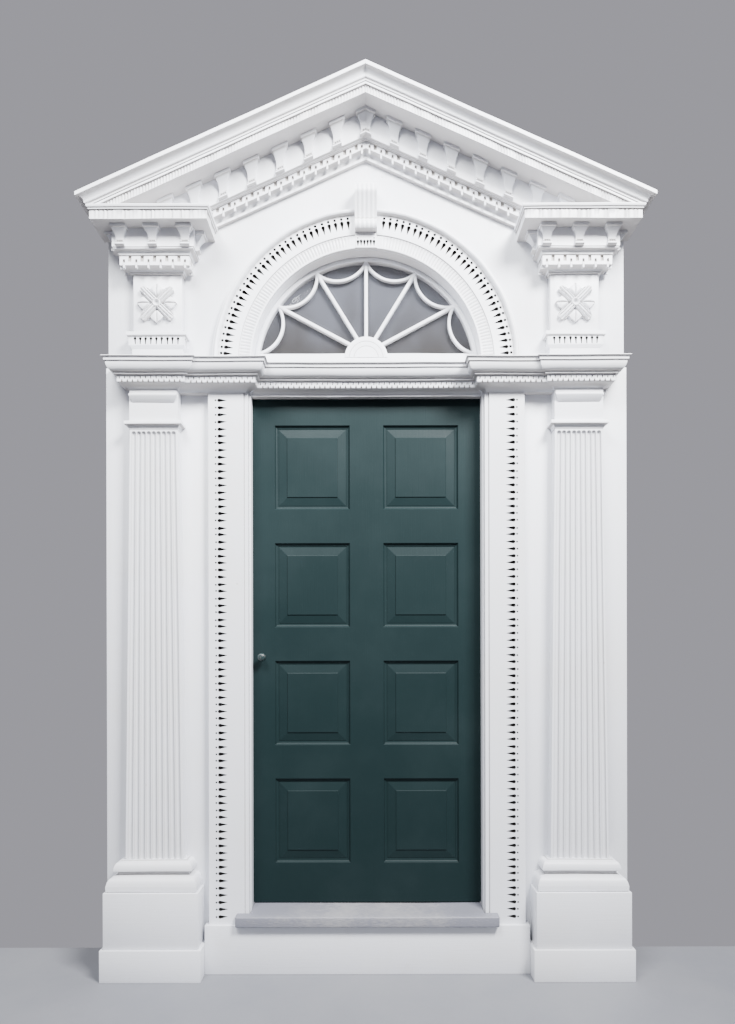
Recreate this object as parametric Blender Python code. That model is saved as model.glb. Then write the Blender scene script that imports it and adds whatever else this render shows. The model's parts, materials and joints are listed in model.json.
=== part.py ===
"""Arched and pedimented door surround of painted pine, with its eight-panel door.

Metres, +Z up. The front faces -Y and the middle of the doorway is X = 0. Depths are
written as distances in front of the face of the lower wall boards, so a negative depth
lies behind that face.
"""
import math

import bmesh
import bpy
from mathutils import Matrix, Vector

# Joint left between two pieces that touch
GAP = 0.0003
# How far a cutting shape runs past the face that it cuts
OVERRUN = 0.002
# Slight fall of a ledge that would otherwise be dead level
LEDGE = 0.0005

# Door opening, from the sill to the underside of the door head
OPENING_HALF = 0.490
HEAD_Z = 2.431
DOOR_PLANE = -0.057
LEAF_THICKNESS = 0.045
REBATE = 0.012
STOP_CLEARANCE = 0.001
DOOR_CLEARANCE = 0.003

# Boards of the wall and the frame of the door
SIDE_WIDTH = 0.611
BOARD_THICKNESS = 0.030
UPPER_BOARD_PLANE = -0.030
UPPER_BOARD_LAP = 0.065
JAMB_THICKNESS = 0.040
HEAD_FRONT = -0.045
HEAD_BACK = -0.120

# Base board and sill
BASE_BOARD_TOP = 0.203
BASE_BOARD_FRONT = 0.052
SILL_NOSE = 0.044
SILL_SLOPE = 0.013
SILL_FRONT = 0.080
SILL_HORN = 0.057
DOOR_BOTTOM_GAP = 0.004

# Pilasters
PILASTER_SETBACK = 0.217
FOOT_HALF = 0.206
FOOT_FRONT = 0.130
FOOT_TOP = 0.130
PLINTH_HALF = 0.194
PLINTH_FRONT = 0.120
PLINTH_TOP = 0.360
BASE_TOP = 0.482
SHAFT_HALF_BOTTOM = 0.121
SHAFT_HALF_TOP = 0.100
SHAFT_FRONT = 0.057
BASE_CORE_FRONT = 0.047
FLUTES = 9
FLUTE_DEPTH = 0.009
FLUTE_SHARE = 0.74
FLUTE_SEGMENTS = 3
FLUTE_TOP_MARGIN = 0.006
SHAFT_EDGE = 0.007
NECK_HALF = 0.101
NECK_HEIGHT = 0.160
CAP_DROP = 0.048

# Architrave beside the opening
ARCHITRAVE_REVEAL = 0.006
ARCHITRAVE_WIDTH = 0.167
ARCHITRAVE_FRONT = 0.035
BEAD_WIDTH = 0.018
BEAD_DROP = 0.005
GOUGE_TIP_INSET = 0.098
GOUGE_LENGTH = 0.027
GOUGE_WIDTH = 0.008
GOUGE_DEPTH = 0.012
GOUGE_PITCH = 0.0295
GOUGE_END_MARGIN = 0.018

# Entablature at the springing of the arch
IMPOST_Z = 2.428
IMPOST_HEIGHT = 0.117
INNER_IMPOST_FRONT = 0.045
TRANSOM_FRONT = -0.0225
TOOTH_PITCH = 0.022
TOOTH_CHIP_WIDTH = 0.007
TOOTH_CHIP_LENGTH = 0.019
TOOTH_CHIP_DEPTH = 0.009
TOOTH_BAND_BOTTOM = 0.026
TOOTH_BAND_OUT = 0.039

# Arch round the fanlight
ARCH_STILT = 0.025
REVEAL_THICKNESS = 0.015
ARCH_FASCIA_WIDTH = 0.055
ARCH_BAND_WIDTH = 0.079
ARCH_MOULDING_WIDTH = 0.029
ARCH_FASCIA_FRONT = -0.014
ARCH_BAND_FRONT = -0.010
ARCH_MOULDING_FRONT = 0.008
ARCH_SEGMENTS = 24
ARCH_GOUGE_INSET = 0.024
ARCH_GOUGE_LENGTH = 0.036
ARCH_GOUGE_WIDTH = 0.010
ARCH_GOUGE_PITCH = math.radians(2.64)

# Keystone
KEYSTONE_HALF = 0.0465
KEYSTONE_RISE = 0.084
KEYSTONE_SOFFIT_RISE = 0.047
KEYSTONE_FOOT_FRONT = -0.006
KEYSTONE_FRONT = 0.060
KEYSTONE_WAIST_FRONT = 0.030
KEYSTONE_GOUGES = 6

# Fanlight
SASH_FRONT = -0.085
SASH_THICKNESS = 0.030
SASH_RIM = 0.020
SASH_RAIL_HEIGHT = 0.098
SPOKE_WIDTH = 0.019
SPOKE_THICKNESS = 0.020
SWAG_WIDTH = 0.017
SWAG_THICKNESS = 0.018
SWAG_SAGITTA = 0.056
SWAG_SEGMENTS = 4
SWAGS = 6
HUB_RADIUS = 0.094
HUB_DROP = 0.024
HUB_THICKNESS = 0.024
HUB_SEGMENTS = 12
GLASS_THICKNESS = 0.003

# Frieze blocks and their cornices
BLOCK_SHIFT = 0.004
BLOCK_HALF = 0.102
BLOCK_FRONT = 0.010
BLOCK_FOOT_HEIGHT = 0.142
BLOCK_HEIGHT = 0.247
BED_HEIGHT = 0.084
BLOCK_WALL_HEIGHT = 0.076
BLOCK_WALL_OUT = 0.067
BLOCK_CORONA_HEIGHT = 0.055
BLOCK_CORONA_OUT = 0.136
BLOCK_FILLET_OUT = 0.146
KEYHOLES = 9
KEYHOLE_PITCH = 0.0226
KEYHOLE_LENGTH = 0.026
KEYHOLE_WIDTH = 0.009
KEYHOLE_BAND_OUT = 0.016
FRET_PITCH = 0.049
FRET_CHIP_WIDTH = 0.012
FRET_CHIP_LENGTH = 0.030
FRET_CHIP_DEPTH = 0.012
FRET_BAND_BOTTOM = 0.027
FRET_BAND_HEIGHT = 0.037
FRET_BAND_OUT = 0.043
ROSETTE_RADIUS = 0.092
ROSETTE_DEPTH = 0.022
ROSETTE_BOSS = 0.018
# Reach and relief of the leaves, from the middle of a small leaf to that of a broad one
ROSETTE_OUTLINE = (0.88, 0.52, 0.82, 0.97, 1.0)
ROSETTE_RELIEF = (0.9, 0.0, 0.7, 1.0, 0.6)

# Raking cornices, measured plumb below the line of the crown
RAKE_TOE = 0.0509
RAKE_SLOPE = 0.450
CROWN_OUT = 0.042
CORONA_FRONT = 0.145
CORONA_OVERHANG = 0.017
RAKE_SOFFIT = 0.097
RAKE_WALL_FRONT = 0.037
RAKE_BED = 0.206
RAKE_DENTIL_FRONT = 0.013
RAKE_BOTTOM = 0.268
RAKE_DENTIL_HEIGHT = 0.030
BOARD_TOP_DROP = 0.012

# Modillions of both cornices
MODILLION_PITCH = 0.119
BLOCK_MODILLION_PITCH = 0.134
RAKE_MODILLIONS = 7
MODILLION_FRONT = 0.116
RAKE_MODILLION_FRONT = 0.070
MODILLION_CAP_HALF = 0.031
MODILLION_FOOT_HALF = 0.020
MODILLION_CAP_HEIGHT = 0.012
MODILLION_FOOT_RISE = 0.012
MODILLION_TOE = 0.010
MODILLION_LEVELS = 3
MODILLION_ROOT = 0.006
APEX_MODILLION_HALF = 0.0395

# Panels of the door
STILE = 0.0945
MULLION = 0.143
TOP_RAIL = 0.112
CROSS_RAIL = 0.1445
BOTTOM_RAIL = 0.174
PANEL_ROWS = 4
PANEL_MOULDING = 0.017
PANEL_SINK = 0.010
PANEL_BEVEL = 0.036
PANEL_BEVEL_RISE = 0.005
FIELD_EDGE = 0.002
FIELD_RISE = 0.0025

# Knobs and hinges
KNOB_BACKSET = 0.0414
KNOB_Z = 1.321
KNOB_RADIUS = 0.017
KNOB_LENGTH = 0.045
KNOB_NECK_RADIUS = 0.008
KNOB_ROSE_RADIUS = 0.014
KNOB_SIDES = 8
HINGE_HEIGHT = 0.100
HINGE_INSET = 0.280
HINGE_BARREL_RADIUS = 0.006
HINGE_PLATE_WIDTH = 0.028
HINGE_PLATE_THICKNESS = 0.0025
HINGE_BARREL_SIDES = 8

# Sizes worked out from the ones above
BOARD_HALF = OPENING_HALF + SIDE_WIDTH
SILL_HALF = OPENING_HALF + SILL_HORN
PILASTER_X = BOARD_HALF - PILASTER_SETBACK
BLOCK_X = PILASTER_X - BLOCK_SHIFT
ARCHITRAVE_IN = OPENING_HALF + ARCHITRAVE_REVEAL
ARCHITRAVE_OUT = ARCHITRAVE_IN + ARCHITRAVE_WIDTH
GOUGE_TIP_X = ARCHITRAVE_IN + GOUGE_TIP_INSET
KNOB_X = KNOB_BACKSET - OPENING_HALF
IMPOST_TOP = IMPOST_Z + IMPOST_HEIGHT
SILL_TOP = BASE_BOARD_TOP + SILL_NOSE + SILL_SLOPE
LEAF_HALF = OPENING_HALF + REBATE - DOOR_CLEARANCE
LEAF_TOP = HEAD_Z + REBATE - DOOR_CLEARANCE
LEAF_BOTTOM = SILL_TOP + DOOR_BOTTOM_GAP
LEAF_FRONT = DOOR_PLANE - STOP_CLEARANCE
LEAF_BACK = LEAF_FRONT - LEAF_THICKNESS
FRAME_BACK = LEAF_BACK
BACK_REACH = KNOB_LENGTH - LEAF_BACK
FACE_Y = (CORONA_FRONT + CROWN_OUT - BACK_REACH) / 2
SHAFT_TOP = IMPOST_Z - NECK_HEIGHT
ARCH_CENTRE_Z = IMPOST_TOP + ARCH_STILT
ARCH_RADIUS = OPENING_HALF
ARCH_STEP_RADIUS = ARCH_RADIUS + ARCH_FASCIA_WIDTH
ARCH_BAND_RADIUS = ARCH_STEP_RADIUS + ARCH_BAND_WIDTH
ARCH_OUTER_RADIUS = ARCH_BAND_RADIUS + ARCH_MOULDING_WIDTH
ARCH_GOUGE_TIP_RADIUS = ARCH_STEP_RADIUS + ARCH_GOUGE_INSET
KEYSTONE_TOP = ARCH_CENTRE_Z + ARCH_OUTER_RADIUS + KEYSTONE_RISE
BOARD_HOLE_RADIUS = ARCH_RADIUS + REVEAL_THICKNESS + GAP
BLOCK_BASE = IMPOST_TOP + BLOCK_FOOT_HEIGHT
BED_BASE = BLOCK_BASE + BLOCK_HEIGHT
WALL_BASE = BED_BASE + BED_HEIGHT
CORONA_BASE = WALL_BASE + BLOCK_WALL_HEIGHT
BLOCK_TOP = CORONA_BASE + BLOCK_CORONA_HEIGHT
CORONA_END = BOARD_HALF + CORONA_OVERHANG
# The crown meets the top of the block cornices at its lower ends
APEX_Z = BLOCK_TOP + RAKE_TOE + RAKE_SLOPE * CORONA_END
JAMB_OUT = OPENING_HALF + JAMB_THICKNESS
BOARD_BACK = UPPER_BOARD_PLANE - BOARD_THICKNESS
RAIL_TOP = IMPOST_TOP + SASH_RAIL_HEIGHT
TO_FRONT = Vector((0.0, -1.0, 0.0))
TO_RIGHT = Vector((1.0, 0.0, 0.0))
HINGE_X = LEAF_HALF + DOOR_CLEARANCE / 2
HINGE_DEPTH = FRAME_BACK - GAP - HINGE_BARREL_RADIUS


def at(x, depth, z):
    """A point from its place across, its depth in front of the lower boards and its height."""
    return Vector((x, FACE_Y - depth, z))


def paint(name, colour, roughness, metallic=0.0):
    """A plain material of one colour."""
    material = bpy.data.materials.new(name)
    material.use_nodes = True
    shader = material.node_tree.nodes["Principled BSDF"]
    shader.inputs["Base Color"].default_value = (*colour, 1.0)
    shader.inputs["Roughness"].default_value = roughness
    shader.inputs["Metallic"].default_value = metallic
    return material


def piece_from(name, points, faces, material=None):
    """An object with a mesh of its own, linked to the scene."""
    mesh = bpy.data.meshes.new(name)
    mesh.from_pydata([tuple(point) for point in points], [], faces)
    if material:
        mesh.materials.append(material)
    piece = bpy.data.objects.new(name, mesh)
    bpy.context.scene.collection.objects.link(piece)
    return piece


def ring_faces(count, size, first=0):
    """Faces that close a stack of rings, each anticlockwise when seen from above."""
    last = first + (count - 1) * size
    faces = [tuple(range(first + size - 1, first - 1, -1))]
    for start in range(first, last, size):
        for i in range(size):
            j = (i + 1) % size
            faces.append((start + i, start + j, start + size + j, start + size + i))
    faces.append(tuple(range(last, last + size)))
    return faces


def ring_solid(name, rings, material=None):
    """A closed solid through a stack of rings with the same number of points."""
    points = [point for ring in rings for point in ring]
    return piece_from(name, points, ring_faces(len(rings), len(rings[0])), material)


def many_solids(name, stacks):
    """One object that holds several separate stacks of rings, used to cut or to add."""
    points = []
    faces = []
    for rings in stacks:
        faces += ring_faces(len(rings), len(rings[0]), len(points))
        points += [point for ring in rings for point in ring]
    return piece_from(name, points, faces)


def extrude_outline(name, outline, depth_front, depth_back, material=None):
    """A flat board from its outline in X and Z, anticlockwise when seen from the front."""
    back = [at(x, depth_back, z) for x, z in outline]
    front = [at(x, depth_front, z) for x, z in outline]
    size = len(outline)
    faces = [tuple(range(size - 1, -1, -1)), tuple(range(size, 2 * size))]
    for i in range(size):
        j = (i + 1) % size
        faces.append((i, j, size + j, size + i))
    return piece_from(name, back + front, faces, material)


def box_rings(x0, x1, depth_back, depth_front, z0, z1, slope=0.0):
    """Two rings of an upright box whose top and bottom may follow the rake."""
    def ring(z):
        corners = ((x0, depth_front), (x1, depth_front), (x1, depth_back), (x0, depth_back))
        return [at(x, depth, z - slope * abs(x)) for x, depth in corners]
    return [ring(z0), ring(z1)]


def box(name, x0, x1, depth_back, depth_front, z0, z1, material=None):
    """A plain upright board or block."""
    return ring_solid(name, box_rings(x0, x1, depth_back, depth_front, z0, z1), material)


def combine(piece, tool, operation):
    """Cut a shape from a piece, or add it, and delete the shape."""
    tool.hide_render = True
    tool.display_type = "WIRE"
    modifier = piece.modifiers.new(operation.lower(), "BOOLEAN")
    modifier.operation = operation
    modifier.solver = "EXACT"
    modifier.object = tool
    settled = bpy.data.meshes.new_from_object(
        piece.evaluated_get(bpy.context.evaluated_depsgraph_get()))
    piece.modifiers.remove(modifier)
    piece.data = settled
    bpy.data.objects.remove(tool)


def mirrored(piece, name):
    """The same piece for the left side of the doorway."""
    mesh = piece.data.copy()
    mesh.transform(Matrix.Scale(-1.0, 4, Vector((1.0, 0.0, 0.0))))
    mesh.flip_normals()
    copy = bpy.data.objects.new(name, mesh)
    bpy.context.scene.collection.objects.link(copy)
    return copy


def pair(piece, common_name):
    """Name the right piece and add its mirror image on the left."""
    piece.name = "right_" + common_name
    mirrored(piece, "left_" + common_name)


def convex(start, end, steps=4):
    """Points of a round moulding that leaves its start level and ends plumb."""
    (z0, out0), (z1, out1) = start, end
    turns = [math.pi / 2 * step / steps for step in range(1, steps + 1)]
    return [(z0 + (z1 - z0) * (1 - math.cos(turn)), out0 + (out1 - out0) * math.sin(turn))
            for turn in turns]


def concave(start, end, steps=4):
    """Points of a hollow moulding that leaves its start plumb and ends level."""
    (z0, out0), (z1, out1) = start, end
    turns = [math.pi / 2 * step / steps for step in range(1, steps + 1)]
    return [(z0 + (z1 - z0) * math.sin(turn), out0 + (out1 - out0) * (1 - math.cos(turn)))
            for turn in turns]


def moulded(name, profile, x0, x1, back, front, ends, base=0.0, slope=0.0, material=None):
    """A run of moulding from its profile of heights and projections, bottom to top.

    Each end either returns round the corner with the same projections (1), stops square
    (0) or is scribed to a neighbour that returns the same way (-1).
    """
    left, right = ends
    rings = []
    for z, out in profile:
        xa = x0 - left * out
        xb = x1 + right * out
        rings += box_rings(xa, xb, back, front + out, base + z, base + z, slope)[:1]
    return ring_solid(name, rings, material)


def gouge(tip, wide, half_width, depth_tip, normal):
    """A chip cut with a gouge: three sided, pointed at its tip and deepest at its wide end."""
    along = (wide - tip).normalized()
    across = normal.cross(along)
    heart = wide.lerp(tip, 0.25) - normal * depth_tip
    mouth = [tip, wide - across * half_width, wide + across * half_width]
    reach = (depth_tip + OVERRUN) / depth_tip
    corners = [heart + (corner - heart) * reach for corner in mouth]
    return corners, heart


def gouge_cutter(name, gouges):
    """One cutting object for a row of gouge chips."""
    points = []
    faces = []
    for corners, heart in gouges:
        first = len(points)
        points += corners + [heart]
        faces += [(first, first + 1, first + 2)]
        faces += [(first + 1, first, first + 3), (first + 2, first + 1, first + 3),
                  (first, first + 2, first + 3)]
    cutter = piece_from(name, points, faces)
    mesh = bmesh.new()
    mesh.from_mesh(cutter.data)
    bmesh.ops.recalc_face_normals(mesh, faces=mesh.faces)
    mesh.to_mesh(cutter.data)
    mesh.free()
    return cutter


def spread(low, high, pitch):
    """Centres of copies at a pitch, centred between two limits."""
    count = int((high - low) / pitch + 0.5)
    first = (low + high) / 2 - pitch * (count - 1) / 2
    return [first + pitch * i for i in range(count)]


def between(low, high, pitch):
    """Places of the cuts that part a length into equal teeth of about one pitch."""
    count = max(int((high - low) / pitch + 0.5), 2)
    return [low + (high - low) * i / count for i in range(1, count)]


def clear_scene():
    """Remove whatever the new file starts with."""
    for item in list(bpy.data.objects):
        bpy.data.objects.remove(item)


# Boards, frame and sill

def build_boards():
    """Lower wall boards, the gable board with its round opening, and the base board."""
    wall = box("wall_board", JAMB_OUT + GAP, BOARD_HALF, -BOARD_THICKNESS, 0.0,
               0.0, IMPOST_TOP, WHITE)
    pair(wall, "wall_board")
    lap_in = JAMB_OUT + 2 * GAP
    lap_z = IMPOST_TOP - UPPER_BOARD_LAP
    foot_z = IMPOST_TOP + GAP
    top = APEX_Z - BOARD_TOP_DROP
    edge = BOARD_HALF
    arc = [(BOARD_HOLE_RADIUS * math.cos(math.pi * i / ARCH_SEGMENTS),
            ARCH_CENTRE_Z + BOARD_HOLE_RADIUS * math.sin(math.pi * i / ARCH_SEGMENTS))
           for i in range(ARCH_SEGMENTS + 1)]
    outline = [(lap_in, foot_z), (lap_in, lap_z), (edge, lap_z),
               (edge, top - RAKE_SLOPE * edge), (0.0, top), (-edge, top - RAKE_SLOPE * edge),
               (-edge, lap_z), (-lap_in, lap_z), (-lap_in, foot_z), (-BOARD_HOLE_RADIUS, foot_z)]
    outline += arc[::-1] + [(BOARD_HOLE_RADIUS, foot_z)]
    extrude_outline("tympanum_board", outline, UPPER_BOARD_PLANE - GAP, BOARD_BACK, WHITE)
    board_end = PILASTER_X - FOOT_HALF - GAP
    box("base_board", -board_end, board_end, GAP, BASE_BOARD_FRONT, 0.0, BASE_BOARD_TOP, WHITE)


def build_frame():
    """Jambs and head, rebated at the back for the leaf."""
    rebate_x = OPENING_HALF + REBATE
    plan = [(OPENING_HALF, -GAP), (JAMB_OUT, -GAP), (JAMB_OUT, FRAME_BACK),
            (rebate_x, FRAME_BACK), (rebate_x, DOOR_PLANE), (OPENING_HALF, DOOR_PLANE)]
    jamb = ring_solid("jamb", [[at(x, depth, z) for x, depth in plan]
                               for z in (0.0, IMPOST_TOP)], WHITE)
    pair(jamb, "jamb")
    side = OPENING_HALF - GAP
    head = [(HEAD_FRONT - GAP, HEAD_Z), (HEAD_FRONT - GAP, IMPOST_TOP), (HEAD_BACK, IMPOST_TOP),
            (HEAD_BACK, HEAD_Z + REBATE), (DOOR_PLANE, HEAD_Z + REBATE), (DOOR_PLANE, HEAD_Z)]
    points = [at(x, depth, z) for x in (-side, side) for depth, z in head]
    size = len(head)
    faces = [tuple(range(size)), tuple(range(2 * size - 1, size - 1, -1))]
    faces += [((i + 1) % size, i, size + i, size + (i + 1) % size) for i in range(size)]
    piece_from("door_head", points, faces, WHITE)


def build_sill():
    """A sloping sill whose nose runs out in front of the architraves."""
    inner = OPENING_HALF - GAP
    horn = ARCHITRAVE_FRONT + GAP
    plan = [(-SILL_HALF, SILL_FRONT), (SILL_HALF, SILL_FRONT), (SILL_HALF, horn),
            (inner, horn), (inner, DOOR_PLANE), (inner, FRAME_BACK), (-inner, FRAME_BACK),
            (-inner, DOOR_PLANE), (-inner, horn), (-SILL_HALF, horn)]
    nose_top = BASE_BOARD_TOP + SILL_NOSE

    def top(depth):
        rise = (SILL_FRONT - max(depth, DOOR_PLANE)) / (SILL_FRONT - DOOR_PLANE)
        return nose_top + SILL_SLOPE * rise
    under = [at(x, depth, BASE_BOARD_TOP + GAP) for x, depth in plan]
    over = [at(x, depth, top(depth)) for x, depth in plan]
    ring_solid("sill", [under, over], GREY)


# Pilasters, from the floor to the entablature

def build_pilaster_foot():
    """Foot, plinth and moulded base."""
    foot = box("foot", PILASTER_X - FOOT_HALF, PILASTER_X + FOOT_HALF, GAP, FOOT_FRONT,
               0.0, FOOT_TOP, WHITE)
    pair(foot, "plinth_foot")
    plinth = box("plinth", PILASTER_X - PLINTH_HALF, PILASTER_X + PLINTH_HALF, GAP,
                 PLINTH_FRONT, FOOT_TOP + GAP, PLINTH_TOP, WHITE)
    pair(plinth, "plinth")
    height = BASE_TOP - PLINTH_TOP
    lower = [(GAP, 0.062), (0.20 * height, 0.065)]
    lower += concave((0.20 * height, 0.065), (0.53 * height, 0.032))
    hollow = [(0.56 * height, 0.026), (0.62 * height, 0.026), (0.65 * height, 0.038)]
    upper = [(0.72 * height, 0.041)] + concave((0.72 * height, 0.041), (height, 0.014), 3)
    base = moulded("base", lower + hollow + upper, PILASTER_X - SHAFT_HALF_BOTTOM,
                   PILASTER_X + SHAFT_HALF_BOTTOM, GAP, BASE_CORE_FRONT, (1, 1),
                   PLINTH_TOP, material=WHITE)
    pair(base, "pilaster_base")


def shaft_ring(half, z, flute):
    """A section of the shaft; flute is 1 for full flutes and falls to 0 at their tops."""
    pitch = 2 * (half - SHAFT_EDGE) / FLUTES
    radius = pitch * FLUTE_SHARE / 2
    ring = [(-half, SHAFT_FRONT)]
    for i in range(FLUTES):
        middle = -half + SHAFT_EDGE + pitch * (i + 0.5)
        for step in range(FLUTE_SEGMENTS + 1):
            turn = math.pi * step / FLUTE_SEGMENTS
            ring.append((middle - radius * flute * math.cos(turn),
                         SHAFT_FRONT - FLUTE_DEPTH * flute * math.sin(turn)))
    ring += [(half, SHAFT_FRONT), (half, GAP), (-half, GAP)]
    return [at(PILASTER_X + x, depth, z) for x, depth in ring]


def build_pilaster_shaft():
    """Tapered shaft with flutes that end just under the neck."""
    bottom = BASE_TOP + GAP
    top = SHAFT_TOP - GAP
    flute_top = top - FLUTE_TOP_MARGIN
    radius = (SHAFT_HALF_TOP - SHAFT_EDGE) / FLUTES * FLUTE_SHARE
    levels = [(bottom, 1.0), (flute_top - 0.7 * radius, 1.0), (flute_top, 0.05), (top, 0.05)]
    rings = []
    for z, flute in levels:
        share = (z - bottom) / (top - bottom)
        half = SHAFT_HALF_BOTTOM + (SHAFT_HALF_TOP - SHAFT_HALF_BOTTOM) * share
        rings.append(shaft_ring(half, z, flute))
    pair(ring_solid("shaft", rings, WHITE), "pilaster_shaft")


def build_pilaster_neck():
    """Plain necking over an astragal, with a narrow cap moulding on the front."""
    rise = IMPOST_Z - GAP - SHAFT_TOP
    astragal = [(0.0, 0.0)] + concave((0.0, 0.0), (0.019, 0.015), 3)
    astragal += [(0.019 + LEDGE, 0.018), (0.034, 0.018), (0.036, 0.0)]
    neck = moulded("neck", astragal + [(rise, 0.0)], PILASTER_X - NECK_HALF,
                   PILASTER_X + NECK_HALF, GAP, SHAFT_FRONT, (1, 1), SHAFT_TOP, material=WHITE)
    inset = 0.016
    cap = [(0.0, 0.0005), (0.026, 0.017), (0.031, 0.017), (0.034, 0.006), (CAP_DROP - GAP, 0.006)]
    widths = [inset, 0.002, 0.002, 0.003, 0.003]
    rings = []
    for (z, out), back in zip(cap, widths):
        rings += box_rings(PILASTER_X - NECK_HALF + back, PILASTER_X + NECK_HALF - back,
                           SHAFT_FRONT - 0.010, SHAFT_FRONT + out, IMPOST_Z - CAP_DROP + z,
                           IMPOST_Z - CAP_DROP + z)[:1]
    combine(neck, ring_solid("cap", rings), "UNION")
    pair(neck, "pilaster_neck")


# Architraves with their row of chips

def build_architraves():
    """A flat board with a beaded inner edge and one column of chips."""
    top = IMPOST_Z - GAP
    bottom = BASE_BOARD_TOP + GAP
    board = box("architrave", ARCHITRAVE_IN, ARCHITRAVE_OUT, GAP, ARCHITRAVE_FRONT,
                bottom, top, WHITE)
    bead = box("bead", ARCHITRAVE_IN - OVERRUN, ARCHITRAVE_IN + BEAD_WIDTH,
               ARCHITRAVE_FRONT - BEAD_DROP, ARCHITRAVE_FRONT + OVERRUN,
               bottom - OVERRUN, top + OVERRUN)
    combine(board, bead, "DIFFERENCE")
    heights = spread(bottom + GOUGE_END_MARGIN, top - GOUGE_END_MARGIN, GOUGE_PITCH)
    chips = [gouge(at(GOUGE_TIP_X, ARCHITRAVE_FRONT, z),
                   at(GOUGE_TIP_X + GOUGE_LENGTH, ARCHITRAVE_FRONT, z),
                   GOUGE_WIDTH / 2, GOUGE_DEPTH, TO_FRONT) for z in heights]
    combine(board, gouge_cutter("chips", chips), "DIFFERENCE")
    pair(board, "architrave")


# Entablature over the pilasters, the architraves and the door

def impost_profile():
    """Cove, toothed band, fillet, cyma, band and top fillet, with steps of the real one."""
    cove = [(0.0, 0.0)] + concave((0.0, 0.0), (0.024, 0.034), 3)
    teeth = [(TOOTH_BAND_BOTTOM, TOOTH_BAND_OUT), (0.052, TOOTH_BAND_OUT)]
    cyma = [(0.052 + LEDGE, 0.049), (0.059, 0.049), (0.059 + LEDGE, 0.052)]
    cyma += concave((0.060, 0.052), (0.082, 0.073), 3)
    top = [(0.084, 0.080), (0.100, 0.080), (0.103, 0.088), (IMPOST_HEIGHT, 0.088)]
    return cove + teeth + cyma + top


def tooth_chips(x0, x1, face):
    """Chips that part the toothed band along its front, between two ends."""
    low = IMPOST_Z + TOOTH_BAND_BOTTOM + 0.001
    return [gouge(at(x, face, low + TOOTH_CHIP_LENGTH), at(x, face, low),
                  TOOTH_CHIP_WIDTH / 2, TOOTH_CHIP_DEPTH, TO_FRONT)
            for x in between(x0, x1, TOOTH_PITCH)]


def side_tooth_chips(x, face):
    """The same chips along the return that faces +X."""
    low = IMPOST_Z + TOOTH_BAND_BOTTOM + 0.001
    return [gouge(at(x, depth, low + TOOTH_CHIP_LENGTH), at(x, depth, low),
                  TOOTH_CHIP_WIDTH / 2, TOOTH_CHIP_DEPTH, TO_RIGHT)
            for depth in between(GAP, face, TOOTH_PITCH)]


def build_imposts():
    """One length over each pilaster, one over each architrave and one over the door."""
    profile = impost_profile()
    block_in = PILASTER_X - NECK_HALF
    block_out = PILASTER_X + NECK_HALF
    out = TOOTH_BAND_OUT

    outer = moulded("outer", profile, block_in, block_out, GAP, SHAFT_FRONT, (1, 1),
                    IMPOST_Z, material=WHITE)
    chips = tooth_chips(block_in - out, block_out + out, SHAFT_FRONT + out)
    chips += side_tooth_chips(block_out + out, SHAFT_FRONT + out)
    combine(outer, gouge_cutter("chips", chips), "DIFFERENCE")
    pair(outer, "outer_impost")

    inner = moulded("inner", profile, ARCHITRAVE_IN, block_in - GAP, GAP, INNER_IMPOST_FRONT,
                    (1, -1), IMPOST_Z, material=WHITE)
    chips = tooth_chips(ARCHITRAVE_IN - out, block_in - out, INNER_IMPOST_FRONT + out)
    combine(inner, gouge_cutter("chips", chips), "DIFFERENCE")
    pair(inner, "inner_impost")

    rings = []
    for z, out_here in profile:
        end = min(ARCHITRAVE_IN - out_here, OPENING_HALF) - GAP
        rings += box_rings(-end, end, HEAD_FRONT, TRANSOM_FRONT + out_here, IMPOST_Z + z,
                           IMPOST_Z + z)[:1]
    transom = ring_solid("transom_impost", rings, WHITE)
    end = ARCHITRAVE_IN - out
    chips = tooth_chips(-end, end, TRANSOM_FRONT + out)
    combine(transom, gouge_cutter("chips", chips), "DIFFERENCE")


# Arch, keystone and fanlight

def arch_path():
    """Places along half the arch, from the foot of its stilt to the crown."""
    foot = [(1.0, 0.0, IMPOST_TOP + GAP - ARCH_CENTRE_Z)]
    turns = [math.pi / 2 * i / (ARCH_SEGMENTS // 2) for i in range(ARCH_SEGMENTS // 2 + 1)]
    return foot + [(math.cos(turn), math.sin(turn), 0.0) for turn in turns]


def arch_points(section, places):
    """Rings of a section of radii and depths carried along the arch."""
    return [[at(radius * across, depth, ARCH_CENTRE_Z + radius * up + drop)
             for radius, depth in section] for across, up, drop in places]


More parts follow.
